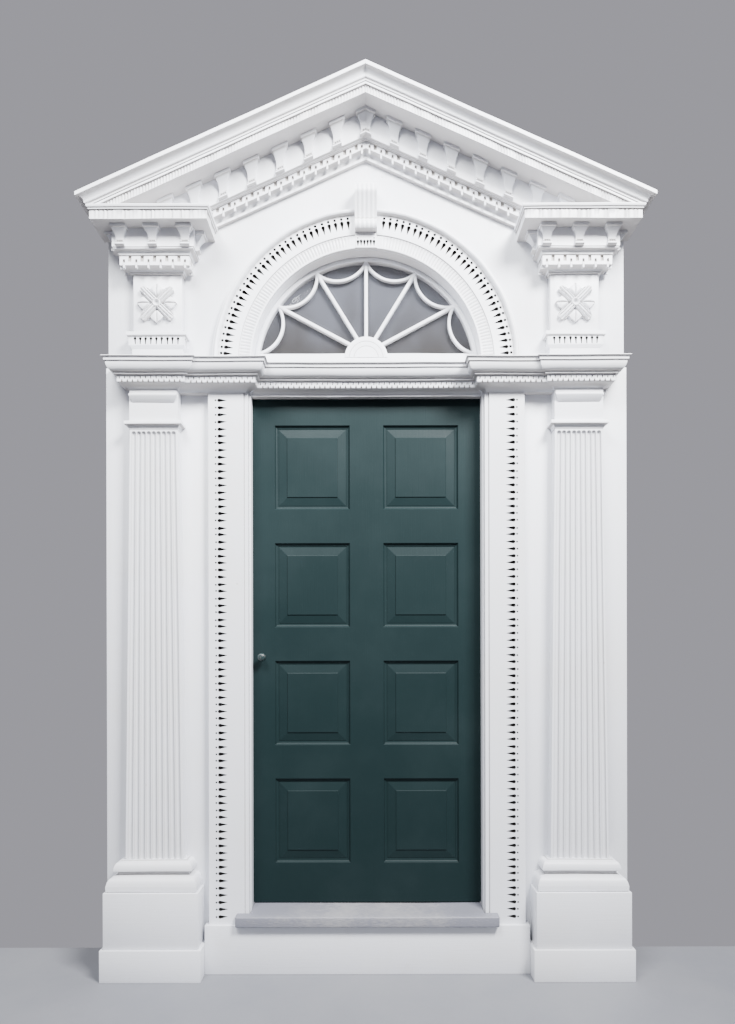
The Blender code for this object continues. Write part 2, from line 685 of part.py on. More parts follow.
def build_arch():
    """The curved soffit and the two halves of the carved archivolt."""
    places = arch_path()
    whole = places + [(-across, up, drop) for across, up, drop in places[-2::-1]]
    front = UPPER_BOARD_PLANE - GAP
    soffit = [(ARCH_RADIUS, front), (ARCH_RADIUS + REVEAL_THICKNESS, front),
              (ARCH_RADIUS + REVEAL_THICKNESS, HEAD_BACK), (ARCH_RADIUS, HEAD_BACK)]
    ring_solid("arch_reveal", arch_points(soffit, whole), WHITE)
    back = UPPER_BOARD_PLANE + GAP
    section = [(ARCH_RADIUS, back), (ARCH_RADIUS, ARCH_FASCIA_FRONT),
               (ARCH_STEP_RADIUS, ARCH_FASCIA_FRONT), (ARCH_STEP_RADIUS, ARCH_BAND_FRONT),
               (ARCH_BAND_RADIUS, ARCH_BAND_FRONT),
               (ARCH_BAND_RADIUS + 0.014, ARCH_MOULDING_FRONT),
               (ARCH_OUTER_RADIUS, ARCH_MOULDING_FRONT - 0.004), (ARCH_OUTER_RADIUS, back)]
    archivolt = ring_solid("archivolt", arch_points(section[::-1], places), WHITE)
    half_key = math.asin(KEYSTONE_HALF / ARCH_GOUGE_TIP_RADIUS) + ARCH_GOUGE_PITCH / 2
    chips = []
    for turn in spread(0.0, math.pi / 2 - half_key, ARCH_GOUGE_PITCH):
        ray = Vector((math.cos(turn), 0.0, math.sin(turn)))
        centre = at(0.0, ARCH_BAND_FRONT, ARCH_CENTRE_Z)
        chips.append(gouge(centre + ray * ARCH_GOUGE_TIP_RADIUS,
                           centre + ray * (ARCH_GOUGE_TIP_RADIUS + ARCH_GOUGE_LENGTH),
                           ARCH_GOUGE_WIDTH / 2, GOUGE_DEPTH, TO_FRONT))
    combine(archivolt, gouge_cutter("chips", chips), "DIFFERENCE")
    key = box("key", -KEYSTONE_HALF, KEYSTONE_HALF + GAP, back - OVERRUN, KEYSTONE_FRONT,
              ARCH_CENTRE_Z, KEYSTONE_TOP)
    combine(archivolt, key, "DIFFERENCE")
    pair(archivolt, "archivolt")


def build_keystone():
    """A block with a gouged foot and a front that swells towards its top."""
    bottom = ARCH_CENTRE_Z + ARCH_RADIUS
    step = bottom + KEYSTONE_SOFFIT_RISE
    height = KEYSTONE_TOP - step
    back = UPPER_BOARD_PLANE + GAP
    drop = KEYSTONE_FRONT - KEYSTONE_WAIST_FRONT
    levels = [(bottom, KEYSTONE_FOOT_FRONT), (step, KEYSTONE_FOOT_FRONT),
              (step + LEDGE, KEYSTONE_WAIST_FRONT - 0.010),
              (step + 0.14 * height, KEYSTONE_WAIST_FRONT)]
    levels += [(step + share * height, KEYSTONE_WAIST_FRONT + drop * share ** 2)
               for share in (0.35, 0.55, 0.75)]
    levels += [(step + 0.90 * height, KEYSTONE_FRONT), (KEYSTONE_TOP, KEYSTONE_FRONT)]
    rings = []
    for z, front in levels:
        rings += box_rings(-KEYSTONE_HALF, KEYSTONE_HALF, back, front, z, z)[:1]
    keystone = ring_solid("keystone", rings, WHITE)
    pitch = 2 * KEYSTONE_HALF / (KEYSTONE_GOUGES + 0.6)
    chips = []
    for i in range(KEYSTONE_GOUGES):
        x = pitch * (i - (KEYSTONE_GOUGES - 1) / 2)
        chips.append(gouge(at(x, KEYSTONE_FOOT_FRONT, bottom + 0.006),
                           at(x, KEYSTONE_FOOT_FRONT, bottom + 0.028),
                           GOUGE_WIDTH / 2, GOUGE_DEPTH, TO_FRONT))
    combine(keystone, gouge_cutter("chips", chips), "DIFFERENCE")


def bar(start, end, width, front, back):
    """Rings of a straight glazing bar between two points in X and Z."""
    start = Vector(start)
    end = Vector(end)
    side = (end - start).normalized().orthogonal() * width / 2
    corners = (start - side, end - side, end + side, start + side)
    return corners, front, back


def flat_bars(name, bars):
    """One object of flat glazing bars, each drawn in X and Z and given its depths."""
    points = []
    faces = []
    for corners, front, back in bars:
        first = len(points)
        size = len(corners)
        points += [at(x, back, z) for x, z in corners] + [at(x, front, z) for x, z in corners]
        faces += [tuple(range(first + size - 1, first - 1, -1)),
                  tuple(range(first + size, first + 2 * size))]
        for i in range(size):
            j = (i + 1) % size
            faces.append((first + i, first + j, first + size + j, first + size + i))
    return piece_from(name, points, faces)


def swag_outline(turn_a, turn_b, radius):
    """A curved bar that hangs between two places on the rim, its outer edge then its inner."""
    a = Vector((math.sin(turn_a), math.cos(turn_a))) * radius
    b = Vector((math.sin(turn_b), math.cos(turn_b))) * radius
    chord = b - a
    half = chord.length / 2
    curve_radius = (half * half + SWAG_SAGITTA ** 2) / (2 * SWAG_SAGITTA)
    outward = ((a + b) / 2).normalized()
    centre = (a + b) / 2 + outward * (curve_radius - SWAG_SAGITTA)
    reach = math.asin(half / curve_radius)
    along = chord.normalized()
    shift = Vector((0.0, ARCH_CENTRE_Z))

    def edge(offset):
        turns = [reach * (2 * i / SWAG_SEGMENTS - 1) for i in range(SWAG_SEGMENTS + 1)]
        return [shift + centre + (along * math.sin(turn) - outward * math.cos(turn))
                * (curve_radius + offset) for turn in turns]
    return edge(-SWAG_WIDTH / 2) + edge(SWAG_WIDTH / 2)[::-1]


def build_fanlight():
    """Sash with spokes, swags and a round hub, and the pane behind it."""
    outer = ARCH_RADIUS - GAP
    inner = outer - SASH_RIM
    back = SASH_FRONT - SASH_THICKNESS
    section = [(inner, back), (outer, back), (outer, SASH_FRONT), (inner, SASH_FRONT)]
    places = arch_path()
    whole = places + [(-across, up, drop) for across, up, drop in places[-2::-1]]
    sash = ring_solid("fanlight_sash", arch_points(section[::-1], whole), WHITE)
    rail = box("rail", -inner - 0.003, inner + 0.003, back + 0.001, SASH_FRONT - 0.001,
               IMPOST_TOP + 2 * GAP, RAIL_TOP)
    combine(sash, rail, "UNION")
    meet = Vector((0.0, RAIL_TOP - 0.003))
    last_turn = math.acos((RAIL_TOP - ARCH_CENTRE_Z) / inner)
    turns = [last_turn * (2 * i / SWAGS - 1) for i in range(SWAGS + 1)]
    spoke_front = SASH_FRONT - 0.002
    for i, turn in enumerate(turns[1:-1]):
        tip = Vector((math.sin(turn), math.cos(turn))) * (inner + 0.004)
        spoke = bar(meet, tip + Vector((0.0, ARCH_CENTRE_Z)), SPOKE_WIDTH,
                    spoke_front - 0.0002 * i, spoke_front - SPOKE_THICKNESS + 0.0002 * i)
        combine(sash, flat_bars("spoke", [spoke]), "UNION")
    swag_front = SASH_FRONT - 0.004
    for i in range(SWAGS):
        outline = swag_outline(turns[i], turns[i + 1], inner + 0.002)
        swag = (outline[::-1], swag_front - 0.0002 * i,
                swag_front - SWAG_THICKNESS + 0.0002 * i)
        combine(sash, flat_bars("swag", [swag]), "UNION")
    hub_z = RAIL_TOP - HUB_DROP
    reach = math.acos(0.010 / HUB_RADIUS)
    disc = [(HUB_RADIUS * math.sin(turn), hub_z + HUB_RADIUS * math.cos(turn))
            for turn in (reach * (2 * i / HUB_SEGMENTS - 1) for i in range(HUB_SEGMENTS + 1))]
    hub = (disc[::-1], SASH_FRONT + 0.001, SASH_FRONT + 0.001 - HUB_THICKNESS)
    combine(sash, flat_bars("hub", [hub]), "UNION")
    glass_front = SASH_FRONT - 0.003 - HUB_THICKNESS
    pane_radius = inner * math.cos(math.pi / (2 * ARCH_SEGMENTS)) - GAP
    low = RAIL_TOP + GAP
    reach = math.acos((low - ARCH_CENTRE_Z) / pane_radius)
    pane = [(pane_radius * math.sin(turn), ARCH_CENTRE_Z + pane_radius * math.cos(turn))
            for turn in (reach * (2 * i / ARCH_SEGMENTS - 1) for i in range(ARCH_SEGMENTS + 1))]
    extrude_outline("fanlight_glass", pane[::-1], glass_front, glass_front - GLASS_THICKNESS,
                    GLASS)


# Frieze blocks with rosettes and their own cornices

def build_rosette():
    """Four broad leaves on the diagonals, four pointed ones between them, and a boss."""
    centre_z = BLOCK_BASE + BLOCK_HEIGHT / 2
    back = BLOCK_FRONT + GAP
    steps = len(ROSETTE_OUTLINE) - 1
    size = 8 * steps
    boss = ROSETTE_BOSS / ROSETTE_RADIUS

    def spot(i, share):
        turn = 2 * math.pi * i / size
        fold = abs((i + steps) % (2 * steps) - steps)
        radius = ROSETTE_RADIUS * share * (1.0 if share <= boss else ROSETTE_OUTLINE[fold])
        return BLOCK_X + radius * math.sin(turn), centre_z + radius * math.cos(turn), fold

    points = [at(BLOCK_X, back + 0.6 * ROSETTE_DEPTH, centre_z)]
    levels = [(boss, 0.9, 0.0), (1.15 * boss, 0.35, 0.2), (0.62, 0.45, 0.5), (1.0, 0.25, 0.15)]
    for share, base, relief in levels:
        for i in range(size):
            x, z, fold = spot(i, share)
            points.append(at(x, back + ROSETTE_DEPTH * (base + relief * ROSETTE_RELIEF[fold]), z))
    for i in range(size):
        x, z, fold = spot(i, 1.0)
        points.append(at(x, back, z))
    faces = []
    for i in range(size):
        j = (i + 1) % size
        faces.append((0, 1 + j, 1 + i))
        for ring in range(len(levels)):
            low = 1 + ring * size
            faces.append((low + i, low + j, low + size + j, low + size + i))
    last = 1 + len(levels) * size
    faces.append(tuple(range(last, last + size)))
    pair(piece_from("rosette", points, faces, WHITE), "rosette")


def build_frieze_block():
    """Foot with keyhole chips, plain block and the fretted bed moulding above."""
    left = BLOCK_X - BLOCK_HALF
    right = BLOCK_X + BLOCK_HALF
    back = UPPER_BOARD_PLANE + GAP
    plinth_top = BLOCK_FOOT_HEIGHT - 0.067
    foot_profile = [(GAP, 0.004), (plinth_top, 0.004), (plinth_top + 0.012, KEYHOLE_BAND_OUT),
                    (BLOCK_FOOT_HEIGHT - 0.017, KEYHOLE_BAND_OUT),
                    (BLOCK_FOOT_HEIGHT - 0.014, 0.024), (BLOCK_FOOT_HEIGHT, 0.024)]
    foot = moulded("foot", foot_profile, left, right, back, BLOCK_FRONT, (1, 1),
                   IMPOST_TOP, material=WHITE)
    band_top = IMPOST_TOP + BLOCK_FOOT_HEIGHT - 0.021
    band_front = BLOCK_FRONT + KEYHOLE_BAND_OUT
    chips = []
    for i in range(KEYHOLES):
        x = BLOCK_X + KEYHOLE_PITCH * (i - (KEYHOLES - 1) / 2)
        chips.append(gouge(at(x, band_front, band_top - KEYHOLE_LENGTH), at(x, band_front, band_top),
                           KEYHOLE_WIDTH / 2, GOUGE_DEPTH, TO_FRONT))
    combine(foot, gouge_cutter("keyholes", chips), "DIFFERENCE")
    pair(foot, "frieze_foot")
    block = box("block", left, right, back, BLOCK_FRONT, BLOCK_BASE + GAP, BED_BASE, WHITE)
    pair(block, "frieze_block")

    band_top = FRET_BAND_BOTTOM + FRET_BAND_HEIGHT
    bed_profile = [(GAP, 0.008), (0.012, 0.008), (0.013, 0.011)]
    bed_profile += concave((0.013, 0.011), (FRET_BAND_BOTTOM - 0.001, 0.030), 3)
    bed_profile += [(FRET_BAND_BOTTOM, FRET_BAND_OUT), (band_top, FRET_BAND_OUT)]
    bed_profile += convex((band_top, FRET_BAND_OUT + 0.004), (BED_HEIGHT - 0.006, 0.060), 3)
    bed_profile += [(BED_HEIGHT - 0.005, 0.064), (BED_HEIGHT, 0.064)]
    bed = moulded("bed", bed_profile, left, right, back, BLOCK_FRONT, (1, 1), BED_BASE,
                  material=WHITE)
    low = BED_BASE + FRET_BAND_BOTTOM + 0.001
    face = BLOCK_FRONT + FRET_BAND_OUT
    half_width = BLOCK_HALF + FRET_BAND_OUT
    chips = []
    for x in between(BLOCK_X - half_width, BLOCK_X + half_width, FRET_PITCH):
        chips.append(gouge(at(x, face, low + FRET_CHIP_LENGTH), at(x, face, low),
                           FRET_CHIP_WIDTH / 2, FRET_CHIP_DEPTH, TO_FRONT))
    for depth in between(back, face, FRET_PITCH):
        for way, x in ((TO_RIGHT, BLOCK_X + half_width), (-TO_RIGHT, BLOCK_X - half_width)):
            chips.append(gouge(at(x, depth, low + FRET_CHIP_LENGTH), at(x, depth, low),
                               FRET_CHIP_WIDTH / 2, FRET_CHIP_DEPTH, way))
    combine(bed, gouge_cutter("chips", chips), "DIFFERENCE")
    pair(bed, "block_bed")


def modillion_levels():
    """Shares of the height with the half width and the projection of a modillion there."""
    levels = []
    for step in range(MODILLION_LEVELS + 1):
        share = step / MODILLION_LEVELS
        half = MODILLION_FOOT_HALF + (MODILLION_CAP_HALF - MODILLION_FOOT_HALF) * share ** 3
        hollow = 1 - math.cos(share * math.pi / 2)
        levels.append((share, half - 0.002 * share, hollow))
    return levels


def modillion(x, wall, front, z0, z1, slope=0.0, widen=1.0):
    """Rings of a hollowed bracket with a square cap, rooted in the wall behind it."""
    under_cap = z1 - MODILLION_CAP_HEIGHT
    rings = []
    for share, half, hollow in modillion_levels():
        reach = wall + MODILLION_TOE + (front - 0.006 - wall - MODILLION_TOE) * hollow
        z = z0 + (under_cap - z0) * share
        rings += box_rings(x - half * widen, x + half * widen, wall - MODILLION_ROOT, reach,
                           z, z, slope)[:1]
    for z in (under_cap + LEDGE, z1):
        cap = MODILLION_CAP_HALF * widen
        rings += box_rings(x - cap, x + cap, wall - MODILLION_ROOT, front, z, z, slope)[:1]
    return rings


def build_block_cornice():
    """The wall with its modillions, three in front and one on each side, and the corona."""
    left = BLOCK_X - BLOCK_HALF
    right = BLOCK_X + BLOCK_HALF
    back = UPPER_BOARD_PLANE + GAP
    wall_front = BLOCK_FRONT + BLOCK_WALL_OUT
    wall = moulded("wall", [(GAP, BLOCK_WALL_OUT), (BLOCK_WALL_HEIGHT, BLOCK_WALL_OUT)],
                   left, right, back, BLOCK_FRONT, (1, 1), WALL_BASE, material=WHITE)
    low = WALL_BASE + MODILLION_FOOT_RISE
    high = CORONA_BASE - 2 * GAP
    stacks = [modillion(BLOCK_X + BLOCK_MODILLION_PITCH * i, wall_front, MODILLION_FRONT,
                        low, high) for i in (-1, 0, 1)]
    combine(wall, many_solids("modillions", stacks), "UNION")
    side_x = right + BLOCK_WALL_OUT
    turned = []
    for direction in (1, -1):
        rings = modillion(0.0, 0.0, MODILLION_FRONT - wall_front, low, high)
        middle = (wall_front + back) / 2
        turned.append([[Vector((BLOCK_X + direction * (side_x - BLOCK_X + FACE_Y - point.y),
                                FACE_Y - middle + direction * point.x, point.z))
                        for point in ring] for ring in rings])
    combine(wall, many_solids("side_modillions", turned), "UNION")
    pair(wall, "block_modillions")

    height = BLOCK_CORONA_HEIGHT
    face_top = height - 0.019
    profile = [(GAP, BLOCK_CORONA_OUT), (face_top, BLOCK_CORONA_OUT),
               (face_top + 0.002, BLOCK_CORONA_OUT + 0.004),
               (height - 0.010, BLOCK_FILLET_OUT - 0.004), (height - 0.008, BLOCK_FILLET_OUT),
               (height, BLOCK_FILLET_OUT)]
    corona = moulded("corona", profile, left, right, back, BLOCK_FRONT, (1, 1), CORONA_BASE,
                     material=WHITE)
    pair(corona, "block_corona")


# Raking cornices

def trim_to_blocks(piece):
    """Cut a raking piece along the top of the block cornice that it lands on."""
    tool = box("trim", -OVERRUN, BOARD_HALF + 2 * CROWN_OUT, BOARD_BACK,
               CORONA_FRONT + 2 * CROWN_OUT, IMPOST_TOP, BLOCK_TOP + GAP)
    combine(piece, tool, "DIFFERENCE")


def build_raking_cornice():
    """The crown mouldings, the modillion course below them and the fret under that."""
    back = UPPER_BOARD_PLANE + GAP
    middle = GAP / 2
    crown = [(-RAKE_SOFFIT, 0.0), (-0.069, 0.0), (-0.068, 0.005), (-0.058, 0.005),
             (-0.057, 0.008), (-0.047, 0.008)]
    crown += convex((-0.047, 0.009), (-0.040, 0.015), 2)
    crown += concave((-0.040, 0.015), (-0.017, 0.039), 4)
    crown += [(-0.016, CROWN_OUT), (0.0, CROWN_OUT)]
    cornice = moulded("cornice", crown, middle, CORONA_END, back, CORONA_FRONT, (0, 1),
                      APEX_Z, RAKE_SLOPE, WHITE)
    trim_to_blocks(cornice)
    pair(cornice, "raking_cornice")

    bed = [(-RAKE_BED, -0.017), (-0.203, -0.012), (-0.199, -0.007), (-0.198, 0.0),
           (-RAKE_SOFFIT - GAP, 0.0)]
    wall = moulded("wall", bed, middle, BOARD_HALF, back, RAKE_WALL_FRONT, (0, 0), APEX_Z,
                   RAKE_SLOPE, WHITE)
    high = APEX_Z - RAKE_SOFFIT - 2 * GAP
    low = APEX_Z - RAKE_BED + 0.008 + MODILLION_FOOT_RISE
    stacks = [modillion(MODILLION_PITCH * i, RAKE_WALL_FRONT, RAKE_MODILLION_FRONT, low,
                        high, RAKE_SLOPE) for i in range(1, RAKE_MODILLIONS + 1)]
    combine(wall, many_solids("modillions", stacks), "UNION")
    trim_to_blocks(wall)
    pair(wall, "raking_modillions")

    dentil_low = -RAKE_BED - RAKE_DENTIL_HEIGHT
    out = RAKE_DENTIL_FRONT - UPPER_BOARD_PLANE
    profile = [(-RAKE_BOTTOM, out - 0.025), (-RAKE_BOTTOM + 0.012, out - 0.025),
               (-RAKE_BOTTOM + 0.013, out - 0.028)]
    profile += concave((-RAKE_BOTTOM + 0.013, out - 0.028), (dentil_low - 0.001, out - 0.008), 3)
    profile += [(dentil_low, out), (-RAKE_BED - GAP, out)]
    course = moulded("dentils", profile, middle, BOARD_HALF, back, UPPER_BOARD_PLANE, (0, 0),
                     APEX_Z, RAKE_SLOPE, WHITE)
    chips = []
    for i in range(int((BLOCK_X - BLOCK_HALF) / FRET_PITCH)):
        x = FRET_PITCH * (i + 0.5)
        low = APEX_Z + dentil_low + 0.001 - RAKE_SLOPE * x
        high = low + RAKE_DENTIL_HEIGHT - 0.005
        chips.append(gouge(at(x, RAKE_DENTIL_FRONT, high), at(x, RAKE_DENTIL_FRONT, low),
                           FRET_CHIP_WIDTH / 2, FRET_CHIP_DEPTH, TO_FRONT))
    combine(course, gouge_cutter("chips", chips), "DIFFERENCE")
    trim_to_blocks(course)
    pair(course, "raking_dentils")


def build_apex_modillion():
    """The bracket under the ridge, whose cap is peaked to fit both rakes."""
    high = APEX_Z - RAKE_SOFFIT - GAP
    low = APEX_Z - RAKE_BED + 0.008 + MODILLION_FOOT_RISE
    under_cap = high - MODILLION_CAP_HEIGHT
    wall = RAKE_WALL_FRONT + GAP
    widen = APEX_MODILLION_HALF / MODILLION_CAP_HALF
    levels = [(low + (under_cap - low) * share, half * widen,
               wall + MODILLION_TOE
               + (RAKE_MODILLION_FRONT - 0.006 - wall - MODILLION_TOE) * hollow)
              for share, half, hollow in modillion_levels()]
    levels += [(under_cap + LEDGE, APEX_MODILLION_HALF, RAKE_MODILLION_FRONT),
               (high, APEX_MODILLION_HALF, RAKE_MODILLION_FRONT)]
    rings = []
    for z, half, front in levels:
        plan = [(-half, front), (0.0, front), (half, front), (half, wall), (0.0, wall),
                (-half, wall)]
        rings.append([at(x, depth, z - RAKE_SLOPE * abs(x)) for x, depth in plan])
    ring_solid("apex_modillion", rings, WHITE)


# Door, with sunk and fielded panels, its knobs and its hinges

def build_door_leaf():
    """Eight sunk panels in two columns; the fields are raised on the front only."""
    visible_top = HEAD_Z
    panel_height = (visible_top - SILL_TOP - TOP_RAIL - BOTTOM_RAIL
                    - (PANEL_ROWS - 1) * CROSS_RAIL) / PANEL_ROWS
    columns = [-LEAF_HALF, -OPENING_HALF + STILE, -MULLION / 2, MULLION / 2,
               OPENING_HALF - STILE, LEAF_HALF]
    rows = [LEAF_BOTTOM]
    z = SILL_TOP + BOTTOM_RAIL
    for _ in range(PANEL_ROWS):
        rows += [z, z + panel_height]
        z += panel_height + CROSS_RAIL
    rows.append(LEAF_TOP)
    points = []
    for depth in (LEAF_FRONT, LEAF_BACK):
        points += [at(x, depth, z) for z in rows for x in columns]
    wide = len(columns)
    side = wide * len(rows)
    faces = []
    for row in range(len(rows) - 1):
        for column in range(wide - 1):
            a = row * wide + column
            cell = (a, a + 1, a + wide + 1, a + wide)
            faces.append(cell)
            faces.append(tuple(side + i for i in reversed(cell)))
    edge = list(range(wide)) + [wide - 1 + wide * i for i in range(1, len(rows))]
    edge += [side - 2 - i for i in range(wide - 1)]
    edge += [wide * i for i in range(len(rows) - 2, 0, -1)]
    for i, start in enumerate(edge):
        end = edge[(i + 1) % len(edge)]
        faces.append((end, start, side + start, side + end))
    leaf = piece_from("door_leaf", points, faces, GREEN)
    mesh = bmesh.new()
    mesh.from_mesh(leaf.data)
    panels = []
    for face in mesh.faces:
        spans = [max(v.co[axis] for v in face.verts) - min(v.co[axis] for v in face.verts)
                 for axis in range(3)]
        column_width = OPENING_HALF - STILE - MULLION / 2
        if abs(spans[0] - column_width) < GAP and abs(spans[2] - panel_height) < GAP:
            panels.append(face)
    bmesh.ops.inset_individual(mesh, faces=panels, thickness=PANEL_MOULDING, depth=-PANEL_SINK)
    fielded = [face for face in panels if face.normal.y < 0]
    for width, rise in ((PANEL_BEVEL, PANEL_BEVEL_RISE), (FIELD_EDGE, FIELD_RISE)):
        bmesh.ops.inset_individual(mesh, faces=fielded, thickness=width, depth=rise)
    mesh.to_mesh(leaf.data)
    mesh.free()
    return leaf


def build_knob(name, face, direction):
    """A turned knob on a small rose, standing forward or back from a face of the leaf."""
    profile = [(KNOB_ROSE_RADIUS, GAP), (KNOB_ROSE_RADIUS, 0.004), (KNOB_NECK_RADIUS, 0.006),
               (KNOB_NECK_RADIUS, 0.45 * KNOB_LENGTH)]
    ball = KNOB_LENGTH - 0.45 * KNOB_LENGTH
    for step in range(1, 4):
        turn = math.pi * step / 4
        radius = max(KNOB_RADIUS * math.sin(turn) ** 0.7, KNOB_NECK_RADIUS)
        profile.append((radius, 0.45 * KNOB_LENGTH + ball * (1 - math.cos(turn)) / 2))
    profile.append((0.6 * KNOB_NECK_RADIUS, KNOB_LENGTH))
    rings = []
    for radius, out in profile:
        turns = [2 * math.pi * i / KNOB_SIDES for i in range(KNOB_SIDES)]
        ring = [at(KNOB_X + radius * math.cos(turn), face + direction * out,
                   KNOB_Z + radius * math.sin(turn)) for turn in turns]
        rings.append(ring if direction > 0 else ring[::-1])
    return ring_solid(name, rings, IRON)


def hinge_plan(direction):
    """Plan of a hinge half: a barrel, and a plate that lies on the back of the wood."""
    face = FRAME_BACK - GAP
    tip = HINGE_X + direction * (HINGE_BARREL_RADIUS + HINGE_PLATE_WIDTH)
    plate_turn = math.asin(1 - HINGE_PLATE_THICKNESS / HINGE_BARREL_RADIUS)
    plan = [(tip, face - HINGE_PLATE_THICKNESS), (tip, face)]
    for i in range(HINGE_BARREL_SIDES + 1):
        turn = math.pi / 2 + (1.5 * math.pi + plate_turn) * i / HINGE_BARREL_SIDES
        plan.append((HINGE_X + direction * HINGE_BARREL_RADIUS * math.cos(turn),
                     HINGE_DEPTH + HINGE_BARREL_RADIUS * math.sin(turn)))
    return plan if direction < 0 else plan[::-1]


def build_hinges():
    """Two butt hinges; the door's half of each barrel is under the frame's half."""
    door_halves = []
    for place, z in (("lower", LEAF_BOTTOM + HINGE_INSET), ("upper", LEAF_TOP - HINGE_INSET)):
        for owner, direction, low, high in (("door", -1, z - HINGE_HEIGHT / 2, z - GAP),
                                            ("jamb", 1, z, z + HINGE_HEIGHT / 2)):
            rings = [[at(x, depth, level) for x, depth in hinge_plan(direction)]
                     for level in (low, high)]
            half = ring_solid(f"{place}_hinge_{owner}_half", rings, IRON)
            if owner == "door":
                door_halves.append(half)
    return door_halves


def main():
    """Build every piece and hang the swinging ones from a pivot on the hinge axis."""
    build_boards()
    build_frame()
    build_sill()
    build_pilaster_foot()
    build_pilaster_shaft()
    build_pilaster_neck()
    build_architraves()
    build_imposts()
    build_arch()
    build_keystone()
    build_fanlight()
    build_rosette()
    build_frieze_block()
    build_block_cornice()
    build_raking_cornice()
    build_apex_modillion()
    swinging = [build_door_leaf(), build_knob("outer_knob", LEAF_FRONT, 1),
                build_knob("inner_knob", LEAF_BACK, -1)] + build_hinges()
    pivot = bpy.data.objects.new("door_pivot", None)
    bpy.context.scene.collection.objects.link(pivot)
    pivot.location = at(HINGE_X, HINGE_DEPTH, 0.0)
    for piece in swinging:
        piece.parent = pivot
        piece.matrix_parent_inverse = Matrix.Translation(-pivot.location)


clear_scene()
WHITE = paint("white_paint", (0.80, 0.81, 0.84), 0.45)
GREY = paint("grey_paint", (0.34, 0.35, 0.41), 0.50)
GREEN = paint("green_paint", (0.016, 0.062, 0.062), 0.40)
GLASS = paint("window_glass", (0.55, 0.57, 0.60), 0.08)
IRON = paint("painted_iron", (0.03, 0.05, 0.05), 0.45, 0.6)
main()
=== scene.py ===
# %% [markdown]
# # A pedimented doorway in carved and painted pine
#
# This lesson dresses the solid model of a tall wooden doorway: fluted pilasters, carved
# architraves, an arch with a fanlight and a gable on brackets, round a green door. The
# solid model, called the frame below, already has every piece at its real size. Here the
# pieces get their fine carving, their softened edges and their paint.

# %% Load the frame
import json
import math

import bmesh
import bpy
from mathutils import Matrix, Vector

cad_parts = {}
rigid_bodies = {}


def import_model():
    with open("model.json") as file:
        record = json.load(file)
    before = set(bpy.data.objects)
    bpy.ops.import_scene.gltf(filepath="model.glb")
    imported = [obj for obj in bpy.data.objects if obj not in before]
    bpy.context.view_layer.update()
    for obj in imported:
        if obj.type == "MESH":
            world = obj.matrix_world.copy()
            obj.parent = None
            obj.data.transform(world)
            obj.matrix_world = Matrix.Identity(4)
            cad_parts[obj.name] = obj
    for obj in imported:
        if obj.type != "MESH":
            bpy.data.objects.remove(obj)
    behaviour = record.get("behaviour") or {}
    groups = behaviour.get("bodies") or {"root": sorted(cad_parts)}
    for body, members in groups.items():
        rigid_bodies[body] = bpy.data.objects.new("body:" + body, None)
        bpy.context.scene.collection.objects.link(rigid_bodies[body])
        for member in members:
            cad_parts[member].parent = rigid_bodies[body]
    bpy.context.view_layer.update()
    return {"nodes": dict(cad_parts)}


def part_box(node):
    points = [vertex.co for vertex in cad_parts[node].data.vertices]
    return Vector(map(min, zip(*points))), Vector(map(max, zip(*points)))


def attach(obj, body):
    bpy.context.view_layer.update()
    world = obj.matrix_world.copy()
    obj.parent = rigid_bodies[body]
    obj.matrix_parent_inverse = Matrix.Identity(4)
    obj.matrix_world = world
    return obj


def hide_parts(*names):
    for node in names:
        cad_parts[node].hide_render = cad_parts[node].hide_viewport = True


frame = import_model()
nodes = frame["nodes"]

# %% [markdown]
# ## Where the viewer stands
#
# A doorway is drawn best square on, with its uprights truly upright. A camera that is
# tilted up makes them lean, so it is kept level at eye height, and the lens is shifted
# upwards instead, as on a view camera.

# %% Camera
FACE_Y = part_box("right_wall_board")[0].y
EYE_DISTANCE = 3.133
EYE_HEIGHT = 1.350

lens = bpy.data.cameras.new("viewer")
lens.lens = 26.02
lens.shift_x = 0.0007
lens.shift_y = 0.1348
viewer = bpy.data.objects.new("viewer", lens)
viewer.location = (0.0, FACE_Y - EYE_DISTANCE, EYE_HEIGHT)
viewer.rotation_euler = (math.radians(90.0), math.radians(0.12), 0.0)
bpy.context.scene.collection.objects.link(viewer)
bpy.context.scene.camera = viewer
print("camera", [round(v, 3) for v in viewer.location])

# %% [markdown]
# ## Light and floor
#
# White carving only shows by its shadows. Two broad soft lamps hang high in front, one on
# each side, as in a gallery. The right one is about twice as strong, so that the relief
# keeps a dark side. Their spread is narrowed to a cone, which leaves the floor dimmer than
# the gable. An even grey-lilac sky stands in for the room, and the plain floor ends a
# little way behind the doorway.

# %% Floor, sky and lamps
LAMP_SPREAD = math.radians(105.0)


def area_lamp(name, place, target, size, watts, colour):
    """A square soft lamp that looks at a target."""
    lamp = bpy.data.lights.new(name, "AREA")
    lamp.shape = "RECTANGLE"
    lamp.size, lamp.size_y = size
    lamp.energy = watts
    lamp.spread = LAMP_SPREAD
    lamp.color = colour
    holder = bpy.data.objects.new(name, lamp)
    holder.location = place
    holder.rotation_euler = (Vector(target) - Vector(place)).to_track_quat("-Z", "Y").to_euler()
    bpy.context.scene.collection.objects.link(holder)


AIM = (0.0, 0.0, 3.00)
area_lamp("left_lamp", (-1.4, -3.1, 5.4), AIM, (2.0, 1.6), 185.0, (0.97, 0.985, 1.0))
area_lamp("right_lamp", (2.1, -3.0, 5.3), AIM, (1.6, 1.4), 395.0, (0.99, 0.99, 1.0))
sky = bpy.data.worlds.new("room")
sky.use_nodes = True
sky.node_tree.nodes["Background"].inputs["Color"].default_value = (0.430, 0.425, 0.470, 1.0)
sky.node_tree.nodes["Background"].inputs["Strength"].default_value = 0.85
bpy.context.scene.world = sky

